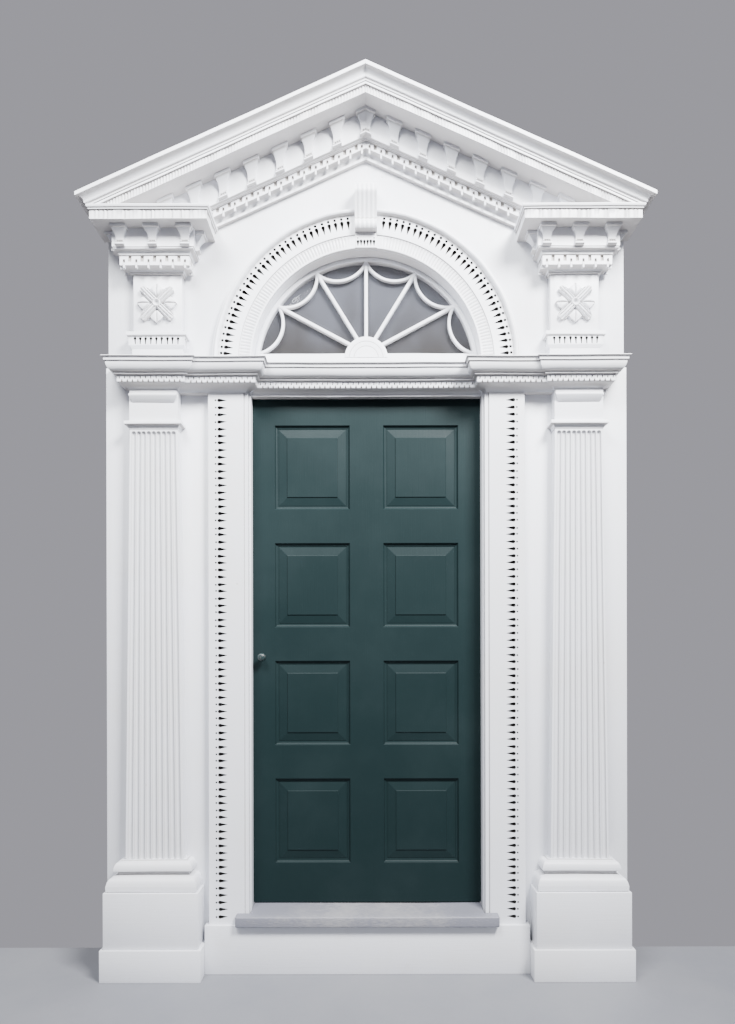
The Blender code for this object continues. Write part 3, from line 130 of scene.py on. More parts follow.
FLOOR_BACK = 0.250
floor_mesh = bpy.data.meshes.new("floor")
floor_mesh.from_pydata([(-9, -9, 0), (9, -9, 0), (9, FLOOR_BACK, 0), (-9, FLOOR_BACK, 0)], [],
                       [(0, 1, 2, 3)])
floor = bpy.data.objects.new("floor", floor_mesh)
bpy.context.scene.collection.objects.link(floor)

# %% [markdown]
# ## Arithmetic for paints
#
# Paint varies in small ways: thicker in corners, dull where hands rubbed it, streaked by
# the brush. Those are sums of noise patterns. The class below lets such a sum be written
# as ordinary arithmetic, and each step adds one Math node behind the scenes.

# %% A paint and its signals
class Signal:
    """A number or colour that changes over a surface; arithmetic on it adds Math nodes."""

    def __init__(self, paint, socket):
        self.paint = paint
        self.socket = socket

    def math(self, operation, first, second=0.0):
        return self.paint.node("ShaderNodeMath", {"operation": operation}, {0: first, 1: second})

    def __add__(self, other):
        return self.math("ADD", self, other)

    def __radd__(self, other):
        return self.math("ADD", other, self)

    def __sub__(self, other):
        return self.math("SUBTRACT", self, other)

    def __rsub__(self, other):
        return self.math("SUBTRACT", other, self)

    def __mul__(self, other):
        return self.math("MULTIPLY", self, other)

    def __rmul__(self, other):
        return self.math("MULTIPLY", other, self)

    def ramp(self, low, high):
        """0 below low, 1 above high and a smooth rise between."""
        return self.paint.node("ShaderNodeMapRange", {"interpolation_type": "SMOOTHSTEP"},
                               {"Value": self, "From Min": low, "From Max": high})


class Paint:
    """A material under construction, with one shader and its signals."""

    def __init__(self, name, **plain):
        self.material = bpy.data.materials.new(name)
        self.material.use_nodes = True
        self.tree = self.material.node_tree
        self.shader = self.tree.nodes["Principled BSDF"]
        for socket, value in plain.items():
            self.shader.inputs[socket.replace("_", " ")].default_value = value

    def node(self, kind, settings, inputs, output=0):
        """Add a node: its settings first, then the values or links of its sockets."""
        made = self.tree.nodes.new(kind)
        for key, value in settings.items():
            setattr(made, key, value)
        for key, value in inputs.items():
            if isinstance(value, Signal):
                self.tree.links.new(value.socket, made.inputs[key])
            else:
                made.inputs[key].default_value = value
        return Signal(self, made.outputs[output])

    def drive(self, socket, signal):
        self.tree.links.new(signal.socket, self.shader.inputs[socket])

    def places(self, stretch=(1.0, 1.0, 1.0)):
        """Object coordinates, stretched along an axis so that noise becomes streaks."""
        where = self.node("ShaderNodeTexCoord", {}, {}, "Object")
        return self.node("ShaderNodeMapping", {}, {"Vector": where, "Scale": stretch})

    def noise(self, where, scale, detail=3.0, roughness=0.55):
        return self.node("ShaderNodeTexNoise", {}, {"Vector": where, "Scale": scale,
                                                    "Detail": detail, "Roughness": roughness})

    def blend(self, share, first, second):
        """Mix two colours by a share."""
        return self.node("ShaderNodeMix", {"data_type": "RGBA"}, {0: share, 6: first, 7: second}, 2)

    def bump(self, height, distance):
        """Turn a height signal into a bent surface normal."""
        return self.node("ShaderNodeBump", {}, {"Height": height, "Distance": distance,
                                                "Strength": 1.0})


print("paint tools ready")

# %% [markdown]
# ## White paint
#
# The doorway wears many coats of white oil paint, slightly blue, on pine. Brush marks run
# along each board, sunk nails show as small dull spots, and a painted shade with some dust
# darkens the hollows of the carving. Undersides get a painted shade, darker and warmer.
# The streak direction is an argument, because rails are brushed sideways and boards
# upwards. The backs of the boards were never painted and stay bare, brown pine.

# %% White paint and bare pine
WHITE = (0.792, 0.806, 0.850, 1.0)
CREAM = (0.742, 0.728, 0.690, 1.0)
UNDERSIDE_SHADE = (0.430, 0.400, 0.375, 1.0)
DUST_AND_SHADE = (0.340, 0.325, 0.310, 1.0)
PINE = (0.330, 0.205, 0.110, 1.0)
DARK_PINE = (0.200, 0.115, 0.058, 1.0)
LEVEL = (2.0, 9.0, 60.0)
UPRIGHT = (60.0, 9.0, 2.0)


def white_paint(name, stretch, bare_back=False):
    """White oil paint brushed along one direction."""
    paint = Paint(name, Roughness=0.42, Coat_Weight=0.0)
    flat = paint.places()
    streaks = paint.noise(paint.places(stretch), 3.0, 4.0, 0.6)
    patches = paint.noise(flat, 2.1, 4.0, 0.6)
    grime = paint.noise(flat, 9.0, 5.0, 0.7).ramp(0.55, 0.80)
    spots = paint.node("ShaderNodeTexVoronoi", {}, {"Vector": flat, "Scale": 4.2}, "Distance")
    nail = (1.0 - spots.ramp(0.016, 0.026)) * 0.75
    colour = paint.blend(patches.ramp(0.42, 0.72) * 0.30, WHITE, CREAM)
    colour = paint.blend(grime * 0.14 + nail * 0.6, colour, (0.560, 0.520, 0.460, 1.0))
    # Faces that point down get a painted shade, darker and warmer.
    facing = paint.node("ShaderNodeTexCoord", {}, {}, "Normal")
    under = paint.node("ShaderNodeSeparateXYZ", {}, {0: facing}, "Z") * -1.0
    colour = paint.blend(under.ramp(0.55, 0.95) * 0.80, colour, UNDERSIDE_SHADE)
    # Inward folds darken: a painted shade in the creases, with some dust.
    dust_and_shade = paint.node("ShaderNodeAttribute", {"attribute_name": "dust_and_shade"}, {}, "Fac")
    colour = paint.blend(dust_and_shade * (patches * 0.5 + 0.50), colour, DUST_AND_SHADE)
    height = streaks * 0.55 + paint.noise(flat, 160.0, 2.0) * 0.20 + patches * 1.2 - nail * 0.8
    if bare_back:
        behind = paint.node("ShaderNodeSeparateXYZ", {}, {0: facing}, "Y").ramp(0.80, 0.95)
        grain = paint.noise(paint.places((26.0, 26.0, 1.3)), 2.2, 5.0, 0.65)
        wood = paint.blend(grain.ramp(0.30, 0.72), DARK_PINE, PINE)
        colour = paint.blend(behind, colour, wood)
    paint.drive("Base Color", colour)
    paint.drive("Roughness", streaks * 0.10 + grime * 0.12 + 0.36)
    paint.drive("Normal", paint.bump(height, 0.0009))
    return paint.material


paint_level = white_paint("white_paint_level", LEVEL)
paint_upright = white_paint("white_paint_upright", UPRIGHT)
paint_board = white_paint("white_paint_board", UPRIGHT, bare_back=True)
paint_fine = white_paint("white_paint_fine", (14.0, 14.0, 14.0))
# Near black for the deep cuts: a painted shade, with some dust in them.
hollow = Paint("shaded_hollow", Roughness=0.8, Base_Color=(0.014, 0.012, 0.010, 1.0)).material
# Mid grey for the gaps of teeth and frets: a painted shade.
hollow_pale = Paint("shaded_hollow_pale", Roughness=0.75, Base_Color=(0.47, 0.45, 0.43, 1.0)).material
print("white paints:", [m.name for m in bpy.data.materials if m.name.startswith("white")])

# %% [markdown]
# ## Plain boards with worn edges
#
# A board fresh from the plane has sharp edges, but two hundred years of paint and knocks
# round them. Each plain solid is copied, its loose triangles are merged back into flat
# faces, and every sharp edge gets a narrow bevel. Light then catches the edges as a thin
# bright line, which is most of what makes painted wood look real. A painted shade, with
# some dust, is the other half: it goes where narrow faces meet in an inward fold, so each
# vertex keeps a number for the sharpness of its fold, and the white paint reads that number.

# %% Soften the plain pieces
EDGE_WEAR = 0.0016
LEAST_FOLD = 0.05
FULL_FOLD = 1.1
CREASE_WIDTH = 0.012
SHORTEST = 1e-6


def shade(piece, angle=34.0):
    """Smooth shading that still breaks at real edges."""
    piece.data.shade_smooth()
    piece.data.set_sharp_from_angle(angle=math.radians(angle))


# Each vertex's number gives the white paint a painted shade in creases, with some dust.
def gather_dust_and_shade(piece):
    """Note on each vertex how sharply the surface folds inwards there."""
    build = bmesh.new()
    build.from_mesh(piece.data)
    dust_and_shade = build.verts.layers.float.new("dust_and_shade")
    bitten = [i for i, m in enumerate(piece.data.materials) if m in (hollow, hollow_pale)]
    for edge in build.edges:
        fold = -edge.calc_face_angle_signed(0.0)
        if fold > LEAST_FOLD and not any(f.material_index in bitten for f in edge.link_faces):
            area = max(f.calc_area() for f in edge.link_faces)
            width = max(area / max(edge.calc_length(), SHORTEST), SHORTEST)
            amount = min(fold / FULL_FOLD, 1.0) * min(CREASE_WIDTH / width, 1.0)
            for vertex in edge.verts:
                vertex[dust_and_shade] = max(vertex[dust_and_shade], amount)
    build.to_mesh(piece.data)
    build.free()


def settle(piece, *replaced, body="surround", slot="white_paint"):
    """Finish a piece: shade it, let it stand for its solids and fix it to a body."""
    shade(piece)
    if slot == "white_paint":
        gather_dust_and_shade(piece)
    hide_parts(*replaced)
    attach(piece, body)


def merged_copy(node, name, paint):
    """A copy of a solid with its triangles merged into flat faces."""
    build = bmesh.new()
    build.from_mesh(nodes[node].data)
    bmesh.ops.remove_doubles(build, verts=build.verts, dist=0.00002)
    bmesh.ops.dissolve_limit(build, angle_limit=math.radians(0.5), verts=build.verts,
                             edges=build.edges)
    mesh = bpy.data.meshes.new(name)
    build.to_mesh(mesh)
    build.free()
    mesh.materials.append(paint)
    piece = bpy.data.objects.new(name, mesh)
    bpy.context.scene.collection.objects.link(piece)
    return piece


def round_edges(piece, width, angle=25.0, segments=2):
    """Bevel every edge sharper than an angle, in the mesh itself."""
    build = bmesh.new()
    build.from_mesh(piece.data)
    sharp = [e for e in build.edges
             if e.is_manifold and e.calc_face_angle(0.0) > math.radians(angle)]
    bmesh.ops.bevel(build, geom=sharp, offset=width, segments=segments, profile=0.5,
                    affect="EDGES", clamp_overlap=True)
    build.to_mesh(piece.data)
    build.free()


PLAIN = {"left_wall_board": paint_board, "right_wall_board": paint_board,
         "tympanum_board": paint_board, "base_board": paint_level,
         "left_jamb": paint_board, "right_jamb": paint_board, "door_head": paint_board,
         "left_plinth_foot": paint_level, "right_plinth_foot": paint_level,
         "left_plinth": paint_level, "right_plinth": paint_level,
         "left_frieze_block": paint_upright, "right_frieze_block": paint_upright,
         "arch_reveal": paint_board}
for node, paint in PLAIN.items():
    piece = merged_copy(node, "worn_" + node, paint)
    round_edges(piece, EDGE_WEAR)
    settle(piece, node)
print(len(PLAIN), "plain pieces softened")

# %% [markdown]
# ## Rows of cuts and rows of carvings
#
# Nearly every ornament here is one small shape repeated: chips, teeth, keyholes,
# brackets. The carver stepped dividers along the board and struck each copy by eye. Two
# node trees do the same. Both set out points in a line or round a centre, with a little
# looseness from a fixed seed. One tree takes a bite out of a board at each point, and
# the other puts a carving there.

# %% The part both trees share
class Setting:
    """A Geometry Nodes tree under construction."""

    def __init__(self, name, sizes):
        self.tree = bpy.data.node_groups.new(name, "GeometryNodeTree")
        self.ids = {}
        for title, kind, value in [("Geometry", "NodeSocketGeometry", None), *sizes]:
            socket = self.tree.interface.new_socket(name=title, in_out="INPUT", socket_type=kind)
            if value is not None:
                socket.default_value = value
            self.ids[title] = socket.identifier
        self.tree.interface.new_socket(name="Geometry", in_out="OUTPUT",
                                       socket_type="NodeSocketGeometry")
        self.given = self.tree.nodes.new("NodeGroupInput")

    def node(self, kind, settings, inputs):
        """Add a node: settings first, then values, links or names of tree inputs."""
        made = self.tree.nodes.new(kind)
        for key, value in settings.items():
            setattr(made, key, value)
        for key, value in inputs.items():
            if isinstance(value, str):
                self.tree.links.new(self.given.outputs[value], made.inputs[key])
            elif isinstance(value, bpy.types.NodeSocket):
                self.tree.links.new(value, made.inputs[key])
            else:
                made.inputs[key].default_value = value
        return made

    def finish(self, geometry):
        leave = self.tree.nodes.new("NodeGroupOutput")
        self.tree.links.new(geometry, leave.inputs[0])


ROW_SIZES = [("Shape", "NodeSocketObject", None), ("Count", "NodeSocketInt", 10),
             ("Start", "NodeSocketVector", (0.0, 0.0, 0.0)),
             ("Step", "NodeSocketVector", (0.0, 0.0, 0.03)),
             ("Turn", "NodeSocketVector", (0.0, 0.0, 0.0)),
             ("Turn step", "NodeSocketFloat", 0.0),
             ("Centre", "NodeSocketVector", (0.0, 0.0, 0.0)),
             ("Looseness", "NodeSocketVector", (0.0, 0.0, 0.0)),
             ("Sway", "NodeSocketFloat", 0.0), ("Seed", "NodeSocketInt", 1),
             ("Slope", "NodeSocketFloat", 0.0), ("Finish", "NodeSocketMaterial", None)]


def placed_copies(setting):
    """Copies of a shape along a line, or round a centre when each step turns."""
    line = setting.node("GeometryNodeMeshLine", {"mode": "OFFSET"},
                        {"Count": "Count", "Start Location": "Start", "Offset": "Step"})
    number = setting.node("GeometryNodeInputIndex", {}, {})
    angle = setting.node("ShaderNodeMath", {"operation": "MULTIPLY"},
                         {0: number.outputs[0], 1: "Turn step"})
    here = setting.node("GeometryNodeInputPosition", {}, {})
    swung = setting.node("ShaderNodeVectorRotate", {"rotation_type": "Y_AXIS"},
                         {"Vector": here.outputs[0], "Center": "Centre",
                          "Angle": angle.outputs[0]})
    loose = setting.node("FunctionNodeRandomValue", {"data_type": "FLOAT_VECTOR"},
                         {0: (-1.0, -1.0, -1.0), 1: (1.0, 1.0, 1.0), "Seed": "Seed"})
    shift = setting.node("ShaderNodeVectorMath", {"operation": "MULTIPLY"},
                         {0: loose.outputs[0], 1: "Looseness"})
    points = setting.node("GeometryNodeSetPosition", {},
                          {"Geometry": line.outputs[0], "Position": swung.outputs[0],
                           "Offset": shift.outputs[0]})
    sway = setting.node("FunctionNodeRandomValue", {"data_type": "FLOAT"},
                        {2: -1.0, 3: 1.0, "Seed": "Seed"})
    lean = setting.node("ShaderNodeMath", {"operation": "MULTIPLY_ADD"},
                        {0: sway.outputs[1], 1: "Sway", 2: angle.outputs[0]})
    about = setting.node("ShaderNodeCombineXYZ", {}, {"Y": lean.outputs[0]})
    base = setting.node("FunctionNodeEulerToRotation", {}, {0: "Turn"})
    spun = setting.node("FunctionNodeEulerToRotation", {}, {0: about.outputs[0]})
    turned = setting.node("FunctionNodeRotateRotation", {"rotation_space": "GLOBAL"},
                          {0: base.outputs[0], 1: spun.outputs[0]})
    shape = setting.node("GeometryNodeObjectInfo", {}, {"Object": "Shape"})
    copies = setting.node("GeometryNodeInstanceOnPoints", {},
                          {"Points": points.outputs[0], "Instance": shape.outputs["Geometry"],
                           "Rotation": turned.outputs[0]})
    return setting.node("GeometryNodeRealizeInstances", {}, {0: copies.outputs[0]})


carving = Setting("row_of_carvings", ROW_SIZES)
solid_row = placed_copies(carving)
where = carving.node("GeometryNodeInputPosition", {}, {})
parts = carving.node("ShaderNodeSeparateXYZ", {}, {0: where.outputs[0]})
across = carving.node("ShaderNodeMath", {"operation": "ABSOLUTE"}, {0: parts.outputs["X"]})
fall = carving.node("ShaderNodeMath", {"operation": "MULTIPLY"}, {0: across.outputs[0], 1: "Slope"})
down = carving.node("ShaderNodeMath", {"operation": "MULTIPLY"}, {0: fall.outputs[0], 1: -1.0})
drop = carving.node("ShaderNodeCombineXYZ", {}, {"Z": down.outputs[0]})
raked = carving.node("GeometryNodeSetPosition", {}, {"Geometry": solid_row.outputs[0],
                                                     "Offset": drop.outputs[0]})
coated = carving.node("GeometryNodeSetMaterial", {}, {"Geometry": raked.outputs[0],
                                                      "Material": "Finish"})
carving.finish(coated.outputs[0])

cutting = Setting("row_of_cuts", ROW_SIZES)
bites = placed_copies(cutting)
marked = cutting.tree.nodes.new("GeometryNodeCaptureAttribute")
marked.domain = "FACE"
marked.capture_items.new("BOOLEAN", "bitten")
marked.inputs["bitten"].default_value = True
cutting.tree.links.new(bites.outputs[0], marked.inputs[0])
cut = cutting.node("GeometryNodeMeshBoolean", {"operation": "DIFFERENCE", "solver": "EXACT"},
                   {"Mesh 1": "Geometry", "Mesh 2": marked.outputs[0]})
plain = cutting.node("GeometryNodeRealizeInstances", {}, {0: cut.outputs["Mesh"]})
shadowed = cutting.node("GeometryNodeSetMaterial", {},
                        {"Geometry": plain.outputs[0], "Selection": marked.outputs["bitten"],
                         "Material": "Finish"})
cutting.finish(shadowed.outputs[0])
print("node trees:", carving.tree.name, "and", cutting.tree.name)


# %% Run a tree on a piece
def run_tree(piece, setting, **sizes):
    """Run a tree on a piece and keep the result as its plain mesh."""
    modifier = piece.modifiers.new("row", "NODES")
    modifier.node_group = setting.tree
    for title, value in sizes.items():
        modifier[setting.ids[title.replace("_", " ")]] = value
    made = bpy.data.meshes.new_from_object(
        piece.evaluated_get(bpy.context.evaluated_depsgraph_get()))
    piece.modifiers.remove(modifier)
    piece.data = made
    return piece


# By default the bitten faces take the near-black painted shade.
def cut_row(piece, shape, count, start, step=(0, 0, 0), finish=hollow, **sizes):
    """Bite a row of hollows out of a piece."""
    return run_tree(piece, cutting, Shape=shape, Count=count, Start=tuple(start),
                    Step=tuple(step), Finish=finish, **sizes)


def carved_row(name, shape, count, start, step, finish, **sizes):
    """A new piece made of copies of a shape."""
    piece = bpy.data.objects.new(name, bpy.data.meshes.new(name))
    bpy.context.scene.collection.objects.link(piece)
    return run_tree(piece, carving, Shape=shape, Count=count, Start=tuple(start),
                    Step=tuple(step), Finish=finish, **sizes)


def join(name, pieces):
    """Join finished shapes into one piece."""
    with bpy.context.temp_override(active_object=pieces[0], object=pieces[0],
                                   selected_editable_objects=pieces):
        bpy.ops.object.join()
    pieces[0].name = name
    return pieces[0]


print("trees can be run")

# %% [markdown]
# ## Mouldings
#
# A moulding is one outline pulled along a line. The joiner's plane cut it in lengths and
# mitred them at the corners. Here the outline is a list of heights and projections, and
# at each height one ring of points goes round the plan: left return, front, right
# return. Rings are cheap to bend, so each can also waver by half a millimetre as planed
# and often painted wood does, and a function may press teeth or reeds into it.

# %% A length of moulding
def at(x, depth, z):
    """A point from its place across, its depth in front of the boards and its height."""
    return Vector((x, FACE_Y - depth, z))


def new_piece(name, points, faces, paint):
    mesh = bpy.data.meshes.new(name)
    mesh.from_pydata([tuple(point) for point in points], [], faces)
    mesh.materials.append(paint)
    piece = bpy.data.objects.new(name, mesh)
    bpy.context.scene.collection.objects.link(piece)
    return piece


def stack(name, rings, paint):
    """A closed solid through rings that run anticlockwise as seen from above."""
    size = len(rings[0])
    faces = [tuple(range(size - 1, -1, -1))]
    for first in range(0, size * (len(rings) - 1), size):
        for i in range(size):
            j = (i + 1) % size
            faces.append((first + i, first + j, first + size + j, first + size + i))
    last = size * (len(rings) - 1)
    faces.append(tuple(range(last, last + size)))
    return new_piece(name, [point for ring in rings for point in ring], faces, paint)


def waver(x, z, reach=0.0007):
    """The small drift of a hand-planed line."""
    return reach * math.sin(7.3 * x + 2.1 * math.sin(17.0 * z)) \
        + 0.5 * reach * math.sin(23.0 * x + 40.0 * z)


def leg(start, end, count):
    return [(start[0] + (end[0] - start[0]) * i / count,
             start[1] + (end[1] - start[1]) * i / count) for i in range(count)]


def moulding(name, outline, ends, span, back, front, base, paint, slope=0.0, step=0.030,
             press=None):
    """A moulding from its outline; each end returns (1), stops (0) or is scribed (-1)."""
    x0, x1 = span
    ways = max(int(abs(x1 - x0) / step), 1)
    turns = [max(int((front - back) / step), 1) if end else 1 for end in ends]
    rings = []
    for level, (z, out) in enumerate(outline):
        xa = x0 - ends[0] * out
        xb = x1 + ends[1] * out
        path = leg((xa, back), (xa, front + out), turns[0])
        path += leg((xa, front + out), (xb, front + out), ways)
        path += leg((xb, front + out), (xb, back), turns[1]) + [(xb, back)]
        ring = []
        for i, (x, depth) in enumerate(path):
            side = -1 if i < turns[0] else 1 if i > turns[0] + ways else 0
            rise = waver(x + depth, base + z)
            if press:
                lift, sink = press(level, side, x, depth)
                rise += lift
                x, depth = (x - side * sink, depth) if side else (x, depth - sink)
            ring.append(at(x, depth, base + z + rise - slope * abs(x)))
        rings.append(ring)
    return stack(name, rings, paint)


def swell(start, end, steps=6):
    """A quarter round that leaves its start level and arrives plumb."""
    (z0, out0), (z1, out1) = start, end
    turns = [math.pi / 2 * i / steps for i in range(1, steps + 1)]
    return [(z0 + (z1 - z0) * (1 - math.cos(t)), out0 + (out1 - out0) * math.sin(t))
            for t in turns]


def cove(start, end, steps=6):
    """A hollow that leaves its start plumb and arrives level."""
    (z0, out0), (z1, out1) = start, end
    turns = [math.pi / 2 * i / steps for i in range(1, steps + 1)]
    return [(z0 + (z1 - z0) * math.sin(t), out0 + (out1 - out0) * (1 - math.cos(t)))
            for t in turns]


def mirrored(piece, name):
    """The same piece on the other side of the doorway."""
    mesh = piece.data.copy()
    mesh.transform(Matrix.Scale(-1.0, 4, Vector((1.0, 0.0, 0.0))))
    mesh.flip_normals()
    twin = bpy.data.objects.new(name, mesh)
    bpy.context.scene.collection.objects.link(twin)
    return twin


def settle_pair(piece, title, node):
    """Finish a right-hand piece and its mirror image on the left."""
    piece.name = "right_" + title
    settle(mirrored(piece, "left_" + title), "left_" + node)
    settle(piece, "right_" + node)
    print(title, len(piece.data.polygons), "faces a side")


print("moulding tools ready")

# %% [markdown]
# ## Pilasters
#
# A pilaster is a column flattened against the wall. Its base has two rolls with a hollow
# between them, its shaft narrows upwards and is cut with flutes, and a plain neck ends in
# a small moulding. The rolls and hollows are arcs in the outline. The flutes are drawn in
# the plan as the square root of a half sine: broad and flat, with steep sides and thin
# ridges between. They shrink to nothing along a quarter circle, which leaves the round
# heads that a gouge cuts.

# %% Pilaster bases
foot_low, foot_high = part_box("right_pilaster_base")
PILASTER_X = (foot_low.x + foot_high.x) / 2
GAP = 0.0003
BASE_CORE = 0.047
SHAFT_HALF = (0.121, 0.100)
base_z = foot_low.z
base_height = foot_high.z - foot_low.z
outline = [(0.0, 0.060), (0.004, 0.064), (0.022, 0.065), (0.026, 0.064)]
outline += cove((0.026, 0.063), (0.060, 0.033), 7)
outline += [(0.0610, 0.0310), (0.0625, 0.0270), (0.0700, 0.0250), (0.0775, 0.0275)]
outline += [(0.0790, 0.0370), (0.0800, 0.0400), (0.0860, 0.0410)]
outline += cove((0.0880, 0.0400), (base_height - 0.003, 0.014), 7)
outline += [(base_height, 0.013)]
base = moulding("base", outline, (1, 1), (PILASTER_X - SHAFT_HALF[0], PILASTER_X + SHAFT_HALF[0]),
                GAP, BASE_CORE, base_z, paint_level)
settle_pair(base, "pilaster_foot_rolls", "pilaster_base")

# %% Fluted shafts
FLUTES = 9
FLUTE_SINK = 0.0100
FLUTE_SHARE = 0.90
FLUTE_STEPS = 8
SHAFT_EDGE = 0.007
SHAFT_FRONT = 0.057
shaft_low, shaft_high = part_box("right_pilaster_shaft")
heads_z = shaft_high.z - 0.006


def shaft_ring(z, flute):
    """One level of the shaft; flute is 1 where the flutes are full and 0 above them."""
    share = (z - shaft_low.z) / (shaft_high.z - shaft_low.z)
    half = SHAFT_HALF[0] + (SHAFT_HALF[1] - SHAFT_HALF[0]) * share
    pitch = 2 * (half - SHAFT_EDGE) / FLUTES
    radius = pitch * FLUTE_SHARE / 2
    ring = [(-half, SHAFT_FRONT - 0.001), (-half + 0.001, SHAFT_FRONT)]
    for i in range(FLUTES):
        middle = -half + SHAFT_EDGE + pitch * (i + 0.5)
        middle += 0.0006 * math.sin(3.1 * z + 2.3 * i)
        for step in range(FLUTE_STEPS + 1):
            turn = math.pi * step / FLUTE_STEPS
            ring.append((middle - radius * max(flute, 0.02) * math.cos(turn),
                         SHAFT_FRONT - FLUTE_SINK * flute * abs(math.sin(turn)) ** 0.5))
    ring += [(half - 0.001, SHAFT_FRONT), (half, SHAFT_FRONT - 0.001), (half, GAP), (-half, GAP)]
    return [at(PILASTER_X + x, depth, z) for x, depth in ring]


rings = []
head_radius = (SHAFT_HALF[1] - SHAFT_EDGE) / FLUTES * FLUTE_SHARE
for i in range(25):
    z = shaft_low.z + (heads_z - head_radius - shaft_low.z) * i / 24
    rings.append(shaft_ring(z, 1.0))
for i in range(1, 8):
    turn = math.pi / 2 * i / 7
    rings.append(shaft_ring(heads_z - head_radius * (1 - math.sin(turn)), math.cos(turn)))
rings.append(shaft_ring(shaft_high.z, 0.0))
shaft = stack("shaft", rings, paint_upright)
settle_pair(shaft, "fluted_shaft", "pilaster_shaft")

# %% Necks and caps
NECK_HALF = 0.101
CAP_HEIGHT = 0.0478
neck_low, neck_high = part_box("right_pilaster_neck")
neck_height = neck_high.z - neck_low.z
outline = [(0.0, 0.0), (0.002, 0.001)] + cove((0.002, 0.001), (0.018, 0.014), 5)
outline += [(0.0185, 0.0165), (0.020, 0.018), (0.031, 0.018), (0.033, 0.017), (0.036, 0.002),
            (0.037, 0.0), (neck_height, 0.0)]
neck = moulding("neck", outline, (1, 1), (PILASTER_X - NECK_HALF, PILASTER_X + NECK_HALF),
                GAP, SHAFT_FRONT, neck_low.z, paint_level)
CAP_OUTLINE = [(0.0, 0.0005, 0.016), (0.001, 0.002, 0.015), (0.024, 0.0165, 0.0025),
               (0.026, 0.0175, 0.002), (0.030, 0.0175, 0.002), (0.032, 0.016, 0.002),
               (0.034, 0.007, 0.003), (0.036, 0.006, 0.003), (0.0475, 0.006, 0.003)]
cap_z = neck_high.z - CAP_HEIGHT
rings = []
for z, out, inset in CAP_OUTLINE:
    half = NECK_HALF - inset
    path = leg((-half, SHAFT_FRONT - 0.006), (-half, SHAFT_FRONT + out), 1)
    path += leg((-half, SHAFT_FRONT + out), (half, SHAFT_FRONT + out), 8)
    path += [(half, SHAFT_FRONT + out), (half, SHAFT_FRONT - 0.006)]
    rings.append([at(PILASTER_X + x, depth, cap_z + z + waver(x, z)) for x, depth in path])
neck = join("neck", [neck, stack("cap", rings, paint_level)])
settle_pair(neck, "neck_and_cap", "pilaster_neck")

# %% [markdown]
# ## Chips and gouge marks
#
# The ornament of this doorway is struck rather than modelled: a gouge goes in once or
# twice, and a chip flies out. Each mark is drawn here as a mouth outline that narrows to
# a floor, and the cutting tree bites it out in a row. The bitten faces get a darker
# finish of their own: a painted shade for the depth of each cut, with some dust in it.

# %% Shapes that bite
def bite(name, outline, sink, floor=0.55):
    """A hollow to cut from a face: its mouth in X and Z, anticlockwise from the front."""
    size = len(outline)
    mid_x = sum(x for x, z in outline) / size
    mid_z = sum(z for x, z in outline) / size
    proud = 0.002
    points = []
    for y, share in ((-proud, 1.0 + proud / sink * (1.0 - floor)), (sink, floor)):
        points += [(mid_x + (x - mid_x) * share, y, mid_z + (z - mid_z) * share)
                   for x, z in outline]
    faces = [tuple(range(size)), tuple(range(2 * size - 1, size - 1, -1))]
    faces += [(i, size + i, size + (i + 1) % size, (i + 1) % size) for i in range(size)]
    return new_piece(name, points, faces, hollow)


def dot(radius, x=0.0, z=0.0, sides=6):
    """The mouth of a round punch mark."""
    return [(x + radius * math.cos(2 * math.pi * i / sides),
             z + radius * math.sin(2 * math.pi * i / sides)) for i in range(sides)]


def wedge(length, width, points=4):
    """A mouth that is pointed at the origin and round at its far end along X."""
    half = width / 2
    round_end = [(length - half + half * math.cos(t), half * math.sin(t))
                 for t in (math.pi * (i / points - 0.5) for i in range(points + 1))]
    return [(0.0, -0.0004)] + round_end + [(0.0, 0.0004)]


def turned_up(outline):
    """The same mouth with its far end up."""
    return [(-z, x) for x, z in outline]


def stepping(low, high, pitch):
    """How many equal steps of about one pitch fit between two ends, and their length."""
    count = max(int((high - low) / pitch + 0.5), 2)
    return count, (high - low) / count


def discard(*shapes):
    for shape in shapes:
        bpy.data.objects.remove(shape)


wedge_bite = join("wedge_bite", [bite("wedge", wedge(0.040, 0.0155), 0.010, 0.70),
                                 bite("far_dot", dot(0.0043, 0.0468), 0.007, 0.8)])
print("one wedge and its dot:", len(wedge_bite.data.polygons), "faces")

# %% [markdown]
# ## Architraves
#
# The flat boards beside the door have a sunk bead along their inner edge and one long
# ladder of wedges, each with a punched dot at its wide end. The board is drawn in plan
# and pulled upwards, then the ladder is bitten out of it in a single row. A touch of
# looseness keeps the wedges from looking ruled.

# %% Architraves
ARCHITRAVE_FRONT = 0.035
BEAD_WIDTH = 0.018
BEAD_SINK = 0.005
GOUGE_PITCH = 0.0295
GOUGE_TIP_INSET = 0.088
LADDER_MARGIN = 0.018
board_low, board_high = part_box("right_architrave")
bead_face = ARCHITRAVE_FRONT - BEAD_SINK
bead_x = board_low.x + BEAD_WIDTH
plan = [(board_low.x, GAP), (board_low.x, bead_face - 0.0015), (board_low.x + 0.0015, bead_face),
        (bead_x - 0.004, bead_face), (bead_x - 0.002, bead_face - 0.002), (bead_x, bead_face),
        (bead_x, ARCHITRAVE_FRONT - 0.0015), (bead_x + 0.0015, ARCHITRAVE_FRONT),
        (board_high.x - 0.0015, ARCHITRAVE_FRONT), (board_high.x, ARCHITRAVE_FRONT - 0.0015),
        (board_high.x, GAP)]
levels = [board_low.z + (board_high.z - board_low.z) * i / 12 for i in range(13)]
board = stack("architrave", [[at(x, depth, z) for x, depth in plan] for z in levels],
              paint_upright)
ladder_low = board_low.z + LADDER_MARGIN
ladder_count, ladder_step = stepping(ladder_low, board_high.z - LADDER_MARGIN, GOUGE_PITCH)
